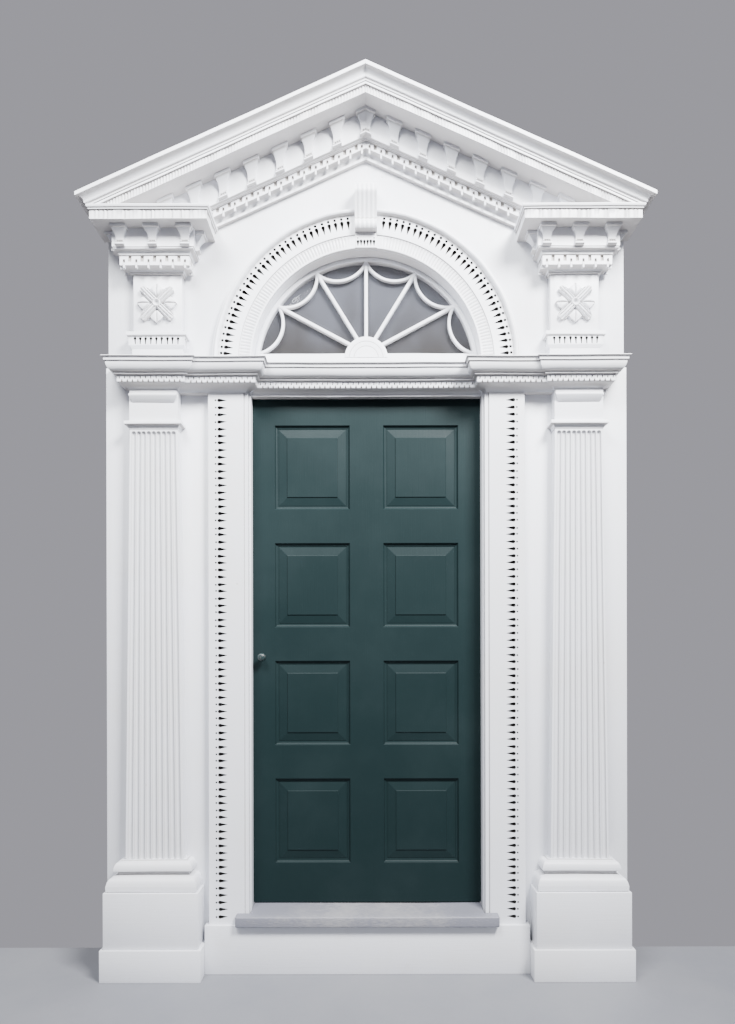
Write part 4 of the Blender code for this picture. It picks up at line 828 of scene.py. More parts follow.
cut_row(board, wedge_bite, ladder_count,
        at(board_low.x + GOUGE_TIP_INSET, ARCHITRAVE_FRONT, ladder_low + ladder_step / 2),
        (0.0, 0.0, ladder_step), Looseness=(0.0010, 0.0, 0.0012), Sway=0.05, Seed=3)
settle_pair(board, "carved_architrave", "architrave")
discard(wedge_bite)
print("wedges a side:", ladder_count)

# %% [markdown]
# ## Entablature
#
# Over the pilasters, the architraves and the door runs the same stack of mouldings: a
# hollow, a band of little teeth, a step, a quarter round and a flat band. It steps
# forward over each pilaster. One outline serves all the lengths. Narrow chips part the
# teeth, and one slanted tick is struck in each tooth.

# %% The outline and its teeth
IMPOST_OUTLINE = [(0.0, 0.0)] + cove((0.0, 0.0), (0.0225, 0.032), 6)
IMPOST_OUTLINE += [(0.0240, 0.0350), (0.0270, 0.0385), (0.0285, 0.0390), (0.0535, 0.0390)]
IMPOST_OUTLINE += [(0.0540, 0.0480), (0.0550, 0.0495), (0.0620, 0.0495), (0.0625, 0.0520)]
IMPOST_OUTLINE += swell((0.0630, 0.0520), (0.0970, 0.0745), 8)
IMPOST_OUTLINE += [(0.0980, 0.0745), (0.0990, 0.0790), (0.1000, 0.0800), (0.1080, 0.0800)]
IMPOST_OUTLINE += cove((0.1082, 0.0800), (0.1145, 0.0870), 4) + [(0.1150, 0.088), (0.117, 0.0875)]
TOOTH_PITCH = 0.022
TOOTH_OUT = 0.039
TOOTH_FOOT = 0.0270
IMPOST_HEIGHT = 0.1173
gap_bite = bite("gap_bite", [(-0.0046, -0.0120), (0.0046, -0.0120), (0.0026, -0.0055),
                             (0.0009, 0.0), (-0.0009, 0.0), (-0.0026, -0.0055)], 0.009, 0.8)
tick_bite = bite("tick_bite", [(-0.0026, -0.0050), (0.0012, -0.0055), (0.0026, 0.0040),
                               (-0.0010, 0.0050)], 0.006, 0.6)
impost_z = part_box("right_outer_impost")[0].z


# The gaps between teeth take the grey painted shade, the ticks the near-black one.
def teeth(piece, low, high, face, ends=(0, 0)):
    """Part a band into teeth along its front and along its returns, and tick each one."""
    count, step = stepping(low, high, TOOTH_PITCH)
    gap_z = impost_z + TOOTH_FOOT + 0.0095
    tick_z = impost_z + TOOTH_FOOT + 0.0165
    loose = {"Looseness": (0.0006, 0.0, 0.0006), "Sway": 0.09}
    cut_row(piece, gap_bite, count - 1, at(low + step, face, gap_z), (step, 0, 0),
            hollow_pale, Seed=5, **loose)
    cut_row(piece, tick_bite, count, at(low + step / 2, face, tick_z), (step, 0, 0),
            Seed=6, **loose)
    for end, x in zip(ends, (low, high)):
        if end:
            count, step = stepping(GAP, face, TOOTH_PITCH)
            turn = (0.0, 0.0, math.pi / 2 * end)
            cut_row(piece, gap_bite, count - 1, at(x, step, gap_z), (0, -step, 0),
                    hollow_pale, Turn=turn, Seed=7)
            cut_row(piece, tick_bite, count, at(x, step / 2, tick_z), (0, -step, 0),
                    Turn=turn, Seed=8)


print("outline of", len(IMPOST_OUTLINE), "points")

# %% Over the pilasters, the architraves and the door
INNER_FRONT = 0.045
TRANSOM_FRONT = -0.0225
HEAD_FRONT = -0.045
block_in = PILASTER_X - NECK_HALF
block_out = PILASTER_X + NECK_HALF
outer = moulding("outer", IMPOST_OUTLINE, (1, 1), (block_in, block_out), GAP, SHAFT_FRONT,
                 impost_z, paint_level)
teeth(outer, block_in - TOOTH_OUT, block_out + TOOTH_OUT, SHAFT_FRONT + TOOTH_OUT, (0, 1))
settle_pair(outer, "outer_entablature", "outer_impost")
inner_outline = [(z, out - 0.009 * max(1.0 - z / 0.020, 0.0)) for z, out in IMPOST_OUTLINE]
inner = moulding("inner", inner_outline, (1, -1), (board_low.x, block_in - GAP), GAP,
                 INNER_FRONT, impost_z, paint_level)
teeth(inner, board_low.x - TOOTH_OUT, block_in - TOOTH_OUT, INNER_FRONT + TOOTH_OUT, (-1, 0))
settle_pair(inner, "inner_entablature", "inner_impost")
over_door = [(z, max(out, 0.006)) for z, out in IMPOST_OUTLINE]
transom = moulding("entablature_over_door", over_door, (-1, -1),
                   (GAP - board_low.x, board_low.x - GAP), HEAD_FRONT, TRANSOM_FRONT, impost_z,
                   paint_level)
teeth(transom, TOOTH_OUT - board_low.x, board_low.x - TOOTH_OUT, TRANSOM_FRONT + TOOTH_OUT)
settle(transom, "transom_impost")
discard(gap_bite, tick_bite)

# %% [markdown]
# ## Arch
#
# The arch is a moulding bent round a centre. Its cross-section is listed as radius and
# depth, and one ring of it stands every fraction of a degree. Close to the opening the
# face is reeded: small ribs that point at the centre, which is a cosine wave pressed into
# the section. Outside that comes a ring of wedges, struck by the same tree as the
# ladders but with each copy turned round the centre.

# %% Both halves of the arch
ARCH_RADIUS = 0.490
ARCH_CENTRE_Z = 2.570
FASCIA = (0.490, 0.545)
BAND_RADIUS = 0.629
RIM_RADIUS = 0.653
FASCIA_FRONT = -0.014
BAND_FRONT = -0.010
RIM_FRONT = 0.008
BOARD_FACE = -0.030
REED_ANGLE = math.radians(1.5)
REED_SINK = 0.0030
KEY_HALF = 0.0465
REED_END = math.radians(84.0)


def arch_section(turn):
    """Radius and depth round the moulded arch at one angle from the horizontal."""
    reed = REED_SINK * (0.5 - 0.5 * math.cos(2 * math.pi * turn / REED_ANGLE))
    reed *= min(max((REED_END - turn) / 0.08, 0.0), 1.0)
    face = FASCIA_FRONT - reed
    drift = waver(3.0 * turn, 0.3)
    rim = [(BAND_RADIUS + 0.001, BAND_FRONT + 0.003), (BAND_RADIUS + 0.004, 0.003),
           (BAND_RADIUS + 0.008, RIM_FRONT - 0.001), (BAND_RADIUS + 0.012, RIM_FRONT),
           (BAND_RADIUS + 0.016, RIM_FRONT - 0.002), (BAND_RADIUS + 0.0175, 0.000),
           (BAND_RADIUS + 0.019, -0.001), (RIM_RADIUS - 0.001, -0.001), (RIM_RADIUS, -0.002)]
    rim = [(radius + drift, depth) for radius, depth in rim]
    return [(FASCIA[0], BOARD_FACE + GAP), (FASCIA[0], FASCIA_FRONT - 0.0015),
            (FASCIA[0] + 0.0015, FASCIA_FRONT), (FASCIA[0] + 0.008, FASCIA_FRONT),
            (FASCIA[0] + 0.011, face), (0.522, face), (FASCIA[1] - 0.006, face),
            (FASCIA[1] - 0.003, FASCIA_FRONT), (FASCIA[1], FASCIA_FRONT),
            (FASCIA[1] + 0.0005, BAND_FRONT - 0.0010), (FASCIA[1] + 0.0015, BAND_FRONT),
            (0.585, BAND_FRONT), (BAND_RADIUS, BAND_FRONT)] + rim \
        + [(RIM_RADIUS, BOARD_FACE + GAP)]


def arch_rings(section, last_turn, step):
    """Rings of a section from the foot of the arch round to its last angle."""
    count = int(last_turn / step + 0.5)
    rings = [[at(radius, depth, impost_z + IMPOST_HEIGHT) for radius, depth in section(0.0)]]
    for i in range(count + 1):
        turn = last_turn * i / count
        rings.append([at(radius * math.cos(turn), depth,
                         ARCH_CENTRE_Z + radius * math.sin(turn))
                      for radius, depth in section(turn)])
    return rings


half_arch = stack("archivolt", arch_rings(arch_section, math.pi / 2, REED_ANGLE / 4),
                  paint_fine)
key_slot = bite("key_slot", [(-KEY_HALF, 0.0), (KEY_HALF, 0.0), (KEY_HALF, 0.7),
                             (-KEY_HALF, 0.7)], 0.2, 1.0)
cut_row(half_arch, key_slot, 1, at(0.0, 0.1, ARCH_CENTRE_Z + 0.3), finish=paint_fine)
arch_wedge = join("arch_wedge", [bite("wedge", wedge(0.040, 0.0164), 0.012, 0.70),
                                 bite("far_dot", dot(0.0064, 0.0482), 0.009, 0.80)])
WEDGE_TIP = 0.569
WEDGE_ANGLE = math.radians(2.64)
arch_span = math.pi / 2 - math.asin(KEY_HALF / WEDGE_TIP) - math.radians(1.3)
wedges, wedge_step = stepping(0.0, arch_span, WEDGE_ANGLE)
first_turn = wedge_step / 2
cut_row(half_arch, arch_wedge, wedges,
        at(WEDGE_TIP * math.cos(first_turn), BAND_FRONT,
           ARCH_CENTRE_Z + WEDGE_TIP * math.sin(first_turn)),
        Centre=tuple(at(0.0, BAND_FRONT, ARCH_CENTRE_Z)), Turn=(0.0, -first_turn, 0.0),
        Turn_step=-wedge_step, Looseness=(0.0010, 0.0, 0.0010), Sway=0.05, Seed=11)
discard(key_slot)
settle_pair(half_arch, "carved_arch", "archivolt")
print("wedges a side:", wedges)

# %% [markdown]
# ## Keystone
#
# A small console stands at the crown of the arch. Its front swells towards the top like
# a bracket seen from the side, with five shallow flutes down it, and its foot is set
# back and gouged. Rings at each height give the swell, and a wave pressed into the
# front row of each ring gives the flutes.

# %% Keystone
KEY_FOOT = 0.066
KEY_FLUTES = 5
KEY_SLICES = 40
KEY_FOOT_FRONT = -0.012
key_low, key_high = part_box("keystone")
key_step_z = ARCH_CENTRE_Z + ARCH_RADIUS + KEY_FOOT


def key_ring(z, front, flute):
    """One level of the keystone: its back corners and its fluted front."""
    across = []
    for i in range(KEY_SLICES + 1):
        x = KEY_HALF * (2 * i / KEY_SLICES - 1)
        wave = 0.5 - 0.5 * math.cos(2 * math.pi * KEY_FLUTES * i / KEY_SLICES)
        edge = 0.0 if 1 < i < KEY_SLICES - 1 else 0.0012
        across.append(at(x, front - flute * wave - edge, z))
    back = BOARD_FACE + GAP
    return [at(-KEY_HALF, back, z)] + across + [at(KEY_HALF, back, z)]


console = key_high.z - key_step_z
key_shape = [(key_low.z, KEY_FOOT_FRONT - 0.0015, 0.0), (key_low.z + 0.0015, KEY_FOOT_FRONT, 0.0),
             (key_step_z - 0.0005, KEY_FOOT_FRONT, 0.0), (key_step_z, 0.010, 0.0030)]
for i in range(1, 9):
    turn = math.pi * i / 9
    key_shape.append((key_step_z + 0.0005 + 0.020 * (1 - math.cos(turn)),
                      0.016 + 0.0110 * math.sin(turn), 0.0028))
for i in range(13):
    share = i / 12
    key_shape.append((key_step_z + 0.0415 + (console - 0.0835) * share,
                      0.0175 + 0.0385 * share ** 1.35, 0.0034))
for i in range(1, 9):
    turn = math.pi / 2 * i / 8
    key_shape.append((key_high.z - 0.042 + 0.042 * math.sin(turn),
                      0.0330 + 0.0235 * math.cos(turn), 0.0034 * math.cos(turn)))
key_block = stack("carved_keystone", [key_ring(*level) for level in key_shape], paint_fine)
key_wedge = bite("key_wedge", turned_up(wedge(0.027, 0.0122)), 0.009, 0.66)
key_dot = bite("key_dot", dot(0.0030), 0.006, 0.6)
KEY_WEDGES = 6
KEY_WEDGE_PITCH = 0.0138
key_row = KEY_WEDGE_PITCH * (KEY_WEDGES - 1)
cut_row(key_block, key_wedge, KEY_WEDGES, at(-key_row / 2, KEY_FOOT_FRONT, key_low.z + 0.007),
        (KEY_WEDGE_PITCH, 0, 0), Looseness=(0.0005, 0.0, 0.0010), Sway=0.04, Seed=13)
cut_row(key_block, key_dot, 2, at(-key_row / 2, KEY_FOOT_FRONT, key_low.z + 0.0410),
        (key_row, 0, 0))
settle(key_block, "keystone")
discard(key_wedge, key_dot, arch_wedge)
print("keystone faces:", len(key_block.data.polygons))

# %% [markdown]
# ## Frieze blocks
#
# Above each pilaster a block rises to the roof moulding. Its foot has a row of keyhole
# marks, a round punch over a thin cut. Its face carries a rosette with four broad leaves
# on the diagonals and four pointed ones between. The rosette is a height map in polar
# form: one rule gives how far the leaves reach at an angle, another how high they stand
# there, and grooves are sunk along their middles.

# %% Feet with keyholes
BLOCK_FRONT = 0.010
block_low, block_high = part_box("right_frieze_block")
BLOCK_X = (block_low.x + block_high.x) / 2
BLOCK_HALF = (block_high.x - block_low.x) / 2
blocks = (BLOCK_X - BLOCK_HALF, BLOCK_X + BLOCK_HALF)
block_back = BOARD_FACE + GAP
foot_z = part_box("right_frieze_foot")[0].z - GAP
FOOT_TOP = 0.142
BAND_OUT = 0.016
outline = [(GAP, 0.003), (0.002, 0.004), (0.073, 0.004), (0.075, 0.0045), (0.086, 0.0150),
           (0.088, BAND_OUT), (0.1235, BAND_OUT), (0.1250, 0.0165), (0.1265, 0.0225),
           (0.1285, 0.024), (0.1405, 0.024), (FOOT_TOP, 0.0225)]
foot = moulding("foot", outline, (1, 1), blocks, block_back, BLOCK_FRONT, foot_z, paint_level)
head = [(0.0066 * math.cos(t), 0.0066 * math.sin(t))
        for t in (math.radians(-60.0 + 50.0 * i) for i in range(7))]
keyhole = bite("keyhole", [(-0.0019, -0.0240), (0.0019, -0.0240)] + head, 0.009, 0.60)
KEYHOLES = 9
KEYHOLE_PITCH = 0.0226
keyhole_z = foot_z + 0.1145
cut_row(foot, keyhole, KEYHOLES,
        at(BLOCK_X - KEYHOLE_PITCH * (KEYHOLES - 1) / 2, BLOCK_FRONT + BAND_OUT, keyhole_z),
        (KEYHOLE_PITCH, 0, 0), Looseness=(0.0009, 0.0, 0.0007), Sway=0.06, Seed=17)
for end, x in ((-1, blocks[0] - BAND_OUT), (1, blocks[1] + BAND_OUT)):
    cut_row(foot, keyhole, 2, at(x, 0.013, keyhole_z), (0, KEYHOLE_PITCH, 0),
            Turn=(0.0, 0.0, math.pi / 2 * end), Seed=18)
settle_pair(foot, "keyhole_foot", "frieze_foot")
discard(keyhole)

# %% Rosettes
ROSETTE_REACH = 0.092
SMALL_REACH = 0.084
WAIST = 0.063
WAIST_FOLD = 0.60
SIDES = 144
ROUND_SHARE = 0.235
SHARES = [0.08, 0.12, 0.15, 0.18, 0.205, 0.235, 0.26, 0.30, 0.36, 0.43, 0.50, 0.57, 0.64,
          0.71, 0.78, 0.85, 0.91, 0.96, 1.0]
EYE_RADIUS = 0.0090
COLLAR_RADIUS = 0.0185
leaf_back = BLOCK_FRONT + GAP
rosette_z = (block_low.z + block_high.z) / 2


def reach(fold):
    """How far the leaves reach, from the middle of a small leaf (0) to a broad one (1)."""
    if fold < WAIST_FOLD:
        away = fold / WAIST_FOLD
        return WAIST + (SMALL_REACH - WAIST) * (1.0 - away) ** 2.6 \
            + 0.005 * math.sin(math.pi * away) ** 2
    away = (fold - WAIST_FOLD) / (1.0 - WAIST_FOLD)
    return WAIST + (ROSETTE_REACH - WAIST) * math.sin(math.pi / 2 * min(away * 1.25, 1.0)) ** 0.7


def groove(distance, width):
    return math.exp(-(distance / width) ** 2)


def relief(radius, share, small_side, broad_side):
    """How far the rosette stands out at a point."""
    if radius < EYE_RADIUS:
        return 0.0085 + 0.0075 * (radius / EYE_RADIUS) ** 3
    if radius < COLLAR_RADIUS:
        around = (radius - EYE_RADIUS) / (COLLAR_RADIUS - EYE_RADIUS)
        return 0.0170 + 0.0050 * math.sin(math.pi * around)
    bulge = math.sin(math.pi * min(max(share, 0.20), 0.92))
    rib = 1.0 - min(abs(broad_side) / 0.0135, 1.0) ** 6
    height = 0.0158 + 0.0030 * bulge - 0.0070 * groove(small_side, 0.0027)
    height -= 0.0125 * groove(abs(broad_side) - 0.0165, 0.0038)
    height += rib * (0.0034 - 0.0085 * groove(abs(broad_side) - 0.0058, 0.0023))
    return height - 0.0020 * max(share - 0.85, 0.0) / 0.15


points = [at(BLOCK_X, leaf_back + 0.008, rosette_z)]
for share in SHARES + [1.0]:
    for i in range(SIDES):
        turn = 2 * math.pi * i / SIDES
        from_small = (turn + math.pi / 4) % (math.pi / 2) - math.pi / 4
        from_broad = turn % (math.pi / 2) - math.pi / 4
        fold = abs(from_small) / (math.pi / 4)
        radius = ROSETTE_REACH * share
        if share > ROUND_SHARE:
            start = ROUND_SHARE * ROSETTE_REACH
            radius = start + (reach(fold) - start) * (share - ROUND_SHARE) / (1.0 - ROUND_SHARE)
        height = relief(radius, share, radius * math.sin(from_small),
                        radius * math.sin(from_broad))
        points.append(at(BLOCK_X + radius * math.sin(turn), leaf_back + height,
                         rosette_z + radius * math.cos(turn)))
for i in range(SIDES):
    points[-1 - i].y = FACE_Y - leaf_back
faces = [(0, 1 + (i + 1) % SIDES, 1 + i) for i in range(SIDES)]
for first in range(1, 1 + SIDES * len(SHARES), SIDES):
    faces += [(first + i, first + (i + 1) % SIDES, first + SIDES + (i + 1) % SIDES,
               first + SIDES + i) for i in range(SIDES)]
faces.append(tuple(range(1 + SIDES * len(SHARES), 1 + SIDES * (len(SHARES) + 1))))
settle_pair(new_piece("rosette", points, faces, paint_fine), "carved_rosette", "rosette")

# %% [markdown]
# ## Bed moulding with its fret
#
# Above each block runs a fret: blocks joined by turns at their top and at their foot,
# with a thin drop hanging under each lower gap. The carver sawed the upper gaps down and
# the lower gaps up. Both are rows of bites, and the drops are a row of carvings.

# %% Gaps and drops of the fret
bed_z = block_high.z
FRET_TOP = 0.0565
FRET_FOOT = 0.0195
FRET_OUT = 0.043
FRET_END = 0.018
BED_OUTLINE = [(GAP, 0.007), (0.001, 0.008), (0.0065, 0.008), (0.007, 0.0105)]
BED_OUTLINE += cove((0.008, 0.011), (0.0180, 0.030), 6)
BED_OUTLINE += [(0.0187, 0.0415), (FRET_FOOT, FRET_OUT), (FRET_TOP, FRET_OUT),
                (0.0570, 0.0405), (0.0597, 0.0405), (0.0602, 0.0450), (0.0640, 0.0460)]
BED_OUTLINE += cove((0.0650, 0.0460), (0.0770, 0.0600), 5)
BED_OUTLINE += [(0.0775, 0.0630), (0.0785, 0.0640), (0.0828, 0.0640), (0.084, 0.0628)]
upper_gap = bite("upper_gap", [(-0.0066, -0.0220), (0.0066, -0.0220), (0.0068, 0.0030),
                               (-0.0068, 0.0030)], 0.008, 0.92)
lower_gap = bite("lower_gap", [(-0.0046, -0.0150), (0.0046, -0.0150), (0.0046, 0.0090),
                               (0.0026, 0.0120), (-0.0026, 0.0120), (-0.0046, 0.0090)],
                 0.009, 0.88)


def post(name, half, low, high, front, back, paint):
    """A small upright block, a little narrower at its foot."""
    def ring(z, share):
        return [(-half * share, -front * share, z), (half * share, -front * share, z),
                (half * share, back, z), (-half * share, back, z)]
    return stack(name, [ring(low, 0.7), ring(low + 0.0012, 1.0), ring(high, 1.0)], paint)


drop = post("drop", 0.0036, -0.0115, 0.0105, 0.0012, 0.012, paint_fine)


# The gaps of the fret take the grey painted shade.
def fret(piece, start, step, uppers, lowers, foot, slope=0.0, turn=(0.0, 0.0, 0.0)):
    """Cut a fret along a step, with lower gaps first, and return its drops."""
    start = Vector(start)
    step = Vector(step)
    to_gap = Vector((0.0, 0.0, FRET_TOP - FRET_FOOT))
    loose = {"Looseness": (0.0007, 0.0, 0.0005), "Sway": 0.06, "Turn": turn}
    cut_row(piece, upper_gap, uppers, start + step / 2 + foot + to_gap, step, hollow_pale,
            Seed=21, **loose)
    cut_row(piece, lower_gap, lowers, start + foot + to_gap * 0.36, step, hollow_pale,
            Seed=22, **loose)
    level_step = Vector((step.x, step.y, 0.0))
    level_start = start + foot
    level_start.z += slope * abs(start.x)
    return carved_row("drops", drop, lowers, level_start, level_step, paint_fine,
                      Slope=slope, Turn=turn)


bed = moulding("bed", BED_OUTLINE, (1, 1), blocks, block_back, BLOCK_FRONT, bed_z, paint_level)
foot = Vector((0.0, 0.0, bed_z + FRET_FOOT))
fret_ends = (blocks[0] - FRET_OUT, blocks[1] + FRET_OUT)
fret_face = BLOCK_FRONT + FRET_OUT
fret_step = (fret_ends[1] - fret_ends[0] - 2 * FRET_END) / 5
hung = [fret(bed, at(fret_ends[0] + FRET_END, fret_face, 0.0), (fret_step, 0, 0), 5, 6, foot)]
for end, x in zip((-1, 1), fret_ends):
    hung.append(fret(bed, at(x, fret_face - 0.016, 0.0), (0, 0.049, 0), 1, 2, foot,
                     turn=(0.0, 0.0, math.pi / 2 * end)))
settle_pair(join("bed", [bed] + hung), "fretted_bed", "block_bed")

# %% [markdown]
# ## Brackets
#
# The brackets are the same on the blocks and up the rakes: a round roll, a narrow stem
# with three nicks, and a body that flares like a goblet under a flat cap, hollowed in
# front. The bracket is built once from a stack of rings. The carving tree repeats it,
# and for the rakes it also shears each copy, so that caps follow the slope while the
# sides stay upright, as they do on the real roof.

# %% One bracket
CAP_HALF = 0.0320
CAP_THICKNESS = 0.0125
STEM_HALF = 0.0160
STEM_TOP = 0.0212
ROLL_HALF = 0.0190
ROLL_RISE = 0.0125
ROOT = 0.006
NICKS = (2, 4, 6)


def bracket(name, height, forward, widen=1.0):
    """A bracket that stands at the origin against a wall, facing forward."""
    levels = []
    for i in range(6):
        t = math.pi * i / 5
        levels.append((ROLL_RISE * (1 - math.cos(t)) / 2, ROLL_HALF,
                       0.005 + 0.011 * math.sin(t), 0.0))
    levels += [(0.0128, STEM_HALF, 0.0060, 0.0), (0.0140, STEM_HALF + 0.001, 0.0110, 0.0),
               (0.0148, STEM_HALF + 0.001, 0.0115, 0.0050),
               (0.0196, STEM_HALF + 0.001, 0.0115, 0.0050),
               (0.0204, STEM_HALF + 0.001, 0.0110, 0.0), (STEM_TOP, STEM_HALF, 0.0085, 0.0)]
    under_cap = height - CAP_THICKNESS
    for i in range(1, 10):
        share = i / 9
        flare = max(share - 0.22, 0.0) / 0.78
        out = 0.0085 + (forward - 0.0145) * (1 - math.cos(share * math.pi / 2))
        levels.append((STEM_TOP + (under_cap - STEM_TOP) * share,
                       STEM_HALF + (CAP_HALF - 0.0035 - STEM_HALF) * flare ** 1.9, out, 0.0))
    levels += [(under_cap + 0.0006, CAP_HALF - 0.0008, forward - 0.001, 0.0),
               (under_cap + 0.0014, CAP_HALF, forward, 0.0),
               (height - 0.0008, CAP_HALF, forward, 0.0), (height, CAP_HALF, forward, 0.0)]
    rings = []
    for z, half, out, nick in levels:
        half *= widen
        front = [(half * (i / 4 - 1.0), -(out - (nick if i in NICKS else 0.0)))
                 for i in range(9)]
        plan = [(-half, ROOT), (-half, -out + 0.0006)] + front[1:-1]
        plan += [(half, -out + 0.0006), (half, ROOT), (0.0, ROOT)]
        rings.append([(x, y, z) for x, y in plan])
    return stack(name, rings, paint_fine)


# %% Brackets over the blocks
wall_z = bed_z + 0.084
corona_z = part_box("right_block_corona")[0].z - GAP
WALL_OUT = 0.067
BRACKET_FRONT = 0.116
BLOCK_BRACKET_PITCH = 0.134
wall_face = BLOCK_FRONT + WALL_OUT
small_bracket = bracket("small_bracket", corona_z - wall_z - 0.0012, BRACKET_FRONT - wall_face)
wall = moulding("wall", [(GAP, WALL_OUT), (corona_z - wall_z, WALL_OUT)], (1, 1), blocks,
                block_back, BLOCK_FRONT, wall_z, paint_level)
course = [wall, carved_row("brackets", small_bracket, 3,
                           at(BLOCK_X - BLOCK_BRACKET_PITCH, wall_face, wall_z + 0.0006),
                           (BLOCK_BRACKET_PITCH, 0, 0), paint_fine)]
for end, x in ((-1, blocks[0] - WALL_OUT), (1, blocks[1] + WALL_OUT)):
    course.append(carved_row("side_bracket", small_bracket, 1,
                             at(x, (wall_face + block_back) / 2, wall_z + 0.0006), (0, 0, 0),
                             paint_fine, Turn=(0.0, 0.0, math.pi / 2 * end)))
settle_pair(join("course", course), "block_brackets", "block_modillions")

# %% [markdown]
# ## Coronas
#
# The corona is the plain drip board that overhangs the brackets. Its face was finished
# with a fine reeding, close upright hollows whose ridges catch the light as a shimmer.
# They are a sine without its sign, pressed into the front points of two levels of the
# moulding, with a slow second wave that makes some fainter, as paint that fills them does.

# %% Reeded coronas on the blocks
REED_PITCH = 0.0120
REED_DEPTH = 0.0052
CORONA_OUTLINE = [(GAP, 0.1350), (0.0012, 0.136), (0.0335, 0.136), (0.0345, 0.1350),
                  (0.0350, 0.1325), (0.0372, 0.1325), (0.0377, 0.1390), (0.0412, 0.1400),
                  (0.0418, 0.1380), (0.0438, 0.1385), (0.0445, 0.1435), (0.0485, 0.1460),
                  (0.0540, 0.1460), (0.055, 0.1450)]


def reeding(first, last):
    """A press that hollows the levels between two, and scallops the lowest one."""
    def press(level, side, x, depth):
        if not first <= level <= last:
            return 0.0, 0.0
        along = x + depth
        rib = abs(math.sin(math.pi * along / REED_PITCH))
        rib *= 0.72 + 0.28 * math.sin(41.0 * along + 3.0 * math.sin(17.0 * along))
        return (0.0030 * rib if level == first else 0.0), REED_DEPTH * rib
    return press


corona = moulding("corona", CORONA_OUTLINE, (1, 1), blocks, block_back, BLOCK_FRONT, corona_z,
                  paint_level, step=REED_PITCH / 4, press=reeding(1, 2))
settle_pair(corona, "reeded_corona", "block_corona")

# %% [markdown]
# ## The rakes
#
# Both slopes of the roof use the same parts again: a crown moulding over a reeded
# corona, a wall with brackets, a fret and a hollow. A raking moulding isn't turned to
# the slope. It keeps its upright section and only slides down as it goes outwards, which
# is why its rings are built upright and lowered by the slope times the distance from the
# middle. Where a rake lands on a block, it is sawn off level.

# %% Crown and corona of the rake
RAKE_SLOPE = 0.450
CORONA_FRONT = 0.145
CORONA_END = 1.118
RAKE_SOFFIT = 0.097
CROWN_DROP = 0.001
BOARD_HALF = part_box("right_wall_board")[1].x
apex_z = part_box("right_raking_cornice")[1].z - CROWN_DROP
block_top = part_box("right_block_corona")[1].z
CROWN_OUTLINE = [(-RAKE_SOFFIT, -0.001), (-RAKE_SOFFIT + 0.0012, 0.0), (-0.0702, 0.0),
                 (-0.0692, -0.0008), (-0.0688, -0.0028), (-0.0668, -0.0028),
                 (-0.0662, 0.0045), (-0.0655, 0.0050), (-0.0585, 0.0050), (-0.0580, 0.0032),
                 (-0.0562, 0.0032), (-0.0556, 0.0075), (-0.0548, 0.0080), (-0.0478, 0.0080)]
CROWN_OUTLINE += [(-0.0470, 0.0095)] + swell((-0.0470, 0.0095), (-0.0400, 0.0155), 4)
CROWN_OUTLINE += cove((-0.0400, 0.0155), (-0.0170, 0.0385), 8)
CROWN_OUTLINE += [(-0.0164, 0.0412), (-0.0154, 0.0420), (-0.0012, 0.0420), (0.0, 0.0410)]
below_blocks = bite("below_blocks", [(-0.1, 2.4), (1.4, 2.4), (1.4, block_top + GAP),
                                     (-0.1, block_top + GAP)], 0.5, 1.0)


def sawn_off(piece):
    """Saw a raking piece off level, where it lands on the block below."""
    return cut_row(piece, below_blocks, 1, at(0.0, 0.3, 0.0), finish=paint_level)


crown = moulding("crown", CROWN_OUTLINE, (0, 1), (GAP / 2, CORONA_END), block_back,
                 CORONA_FRONT, apex_z, paint_level, slope=RAKE_SLOPE, step=REED_PITCH / 4,
                 press=reeding(1, 2))
settle_pair(sawn_off(crown), "raking_crown", "raking_cornice")

# %% Brackets of the rake
RAKE_BED = 0.206
RAKE_WALL = 0.037
RAKE_BRACKETS = 7
BRACKET_PITCH = 0.119
rake_wall = [(-RAKE_BED, -0.0170), (-0.2045, -0.0165), (-0.2038, -0.0125), (-0.2012, -0.0110),
             (-0.2002, -0.0070), (-0.1992, -0.0010), (-0.1980, 0.0),
             (-RAKE_SOFFIT - GAP, 0.0)]
wall = moulding("rake_wall", rake_wall, (0, 0), (GAP / 2, BOARD_HALF), block_back, RAKE_WALL,
                apex_z, paint_level, slope=RAKE_SLOPE)
BRACKET_FOOT = 0.1975
bracket_height = BRACKET_FOOT - RAKE_SOFFIT - 0.0012
RAKE_BRACKET_FRONT = 0.070
rake_bracket = bracket("rake_bracket", bracket_height, RAKE_BRACKET_FRONT - RAKE_WALL)
row = carved_row("rake_brackets", rake_bracket, RAKE_BRACKETS,
                 at(BRACKET_PITCH, RAKE_WALL, apex_z - BRACKET_FOOT), (BRACKET_PITCH, 0, 0),
                 paint_fine, Slope=RAKE_SLOPE)
settle_pair(join("rake_course", [sawn_off(wall), sawn_off(row)]), "raking_brackets",
            "raking_modillions")
peak_bracket = bracket("peak_bracket", bracket_height - GAP,
                       RAKE_BRACKET_FRONT - RAKE_WALL - GAP, widen=0.0395 / CAP_HALF)
peak = carved_row("peak_bracket_carved", peak_bracket, 1,
                  at(0.0, RAKE_WALL + GAP, apex_z - BRACKET_FOOT), (0, 0, 0), paint_fine,
                  Slope=RAKE_SLOPE)
settle(peak, "apex_modillion")

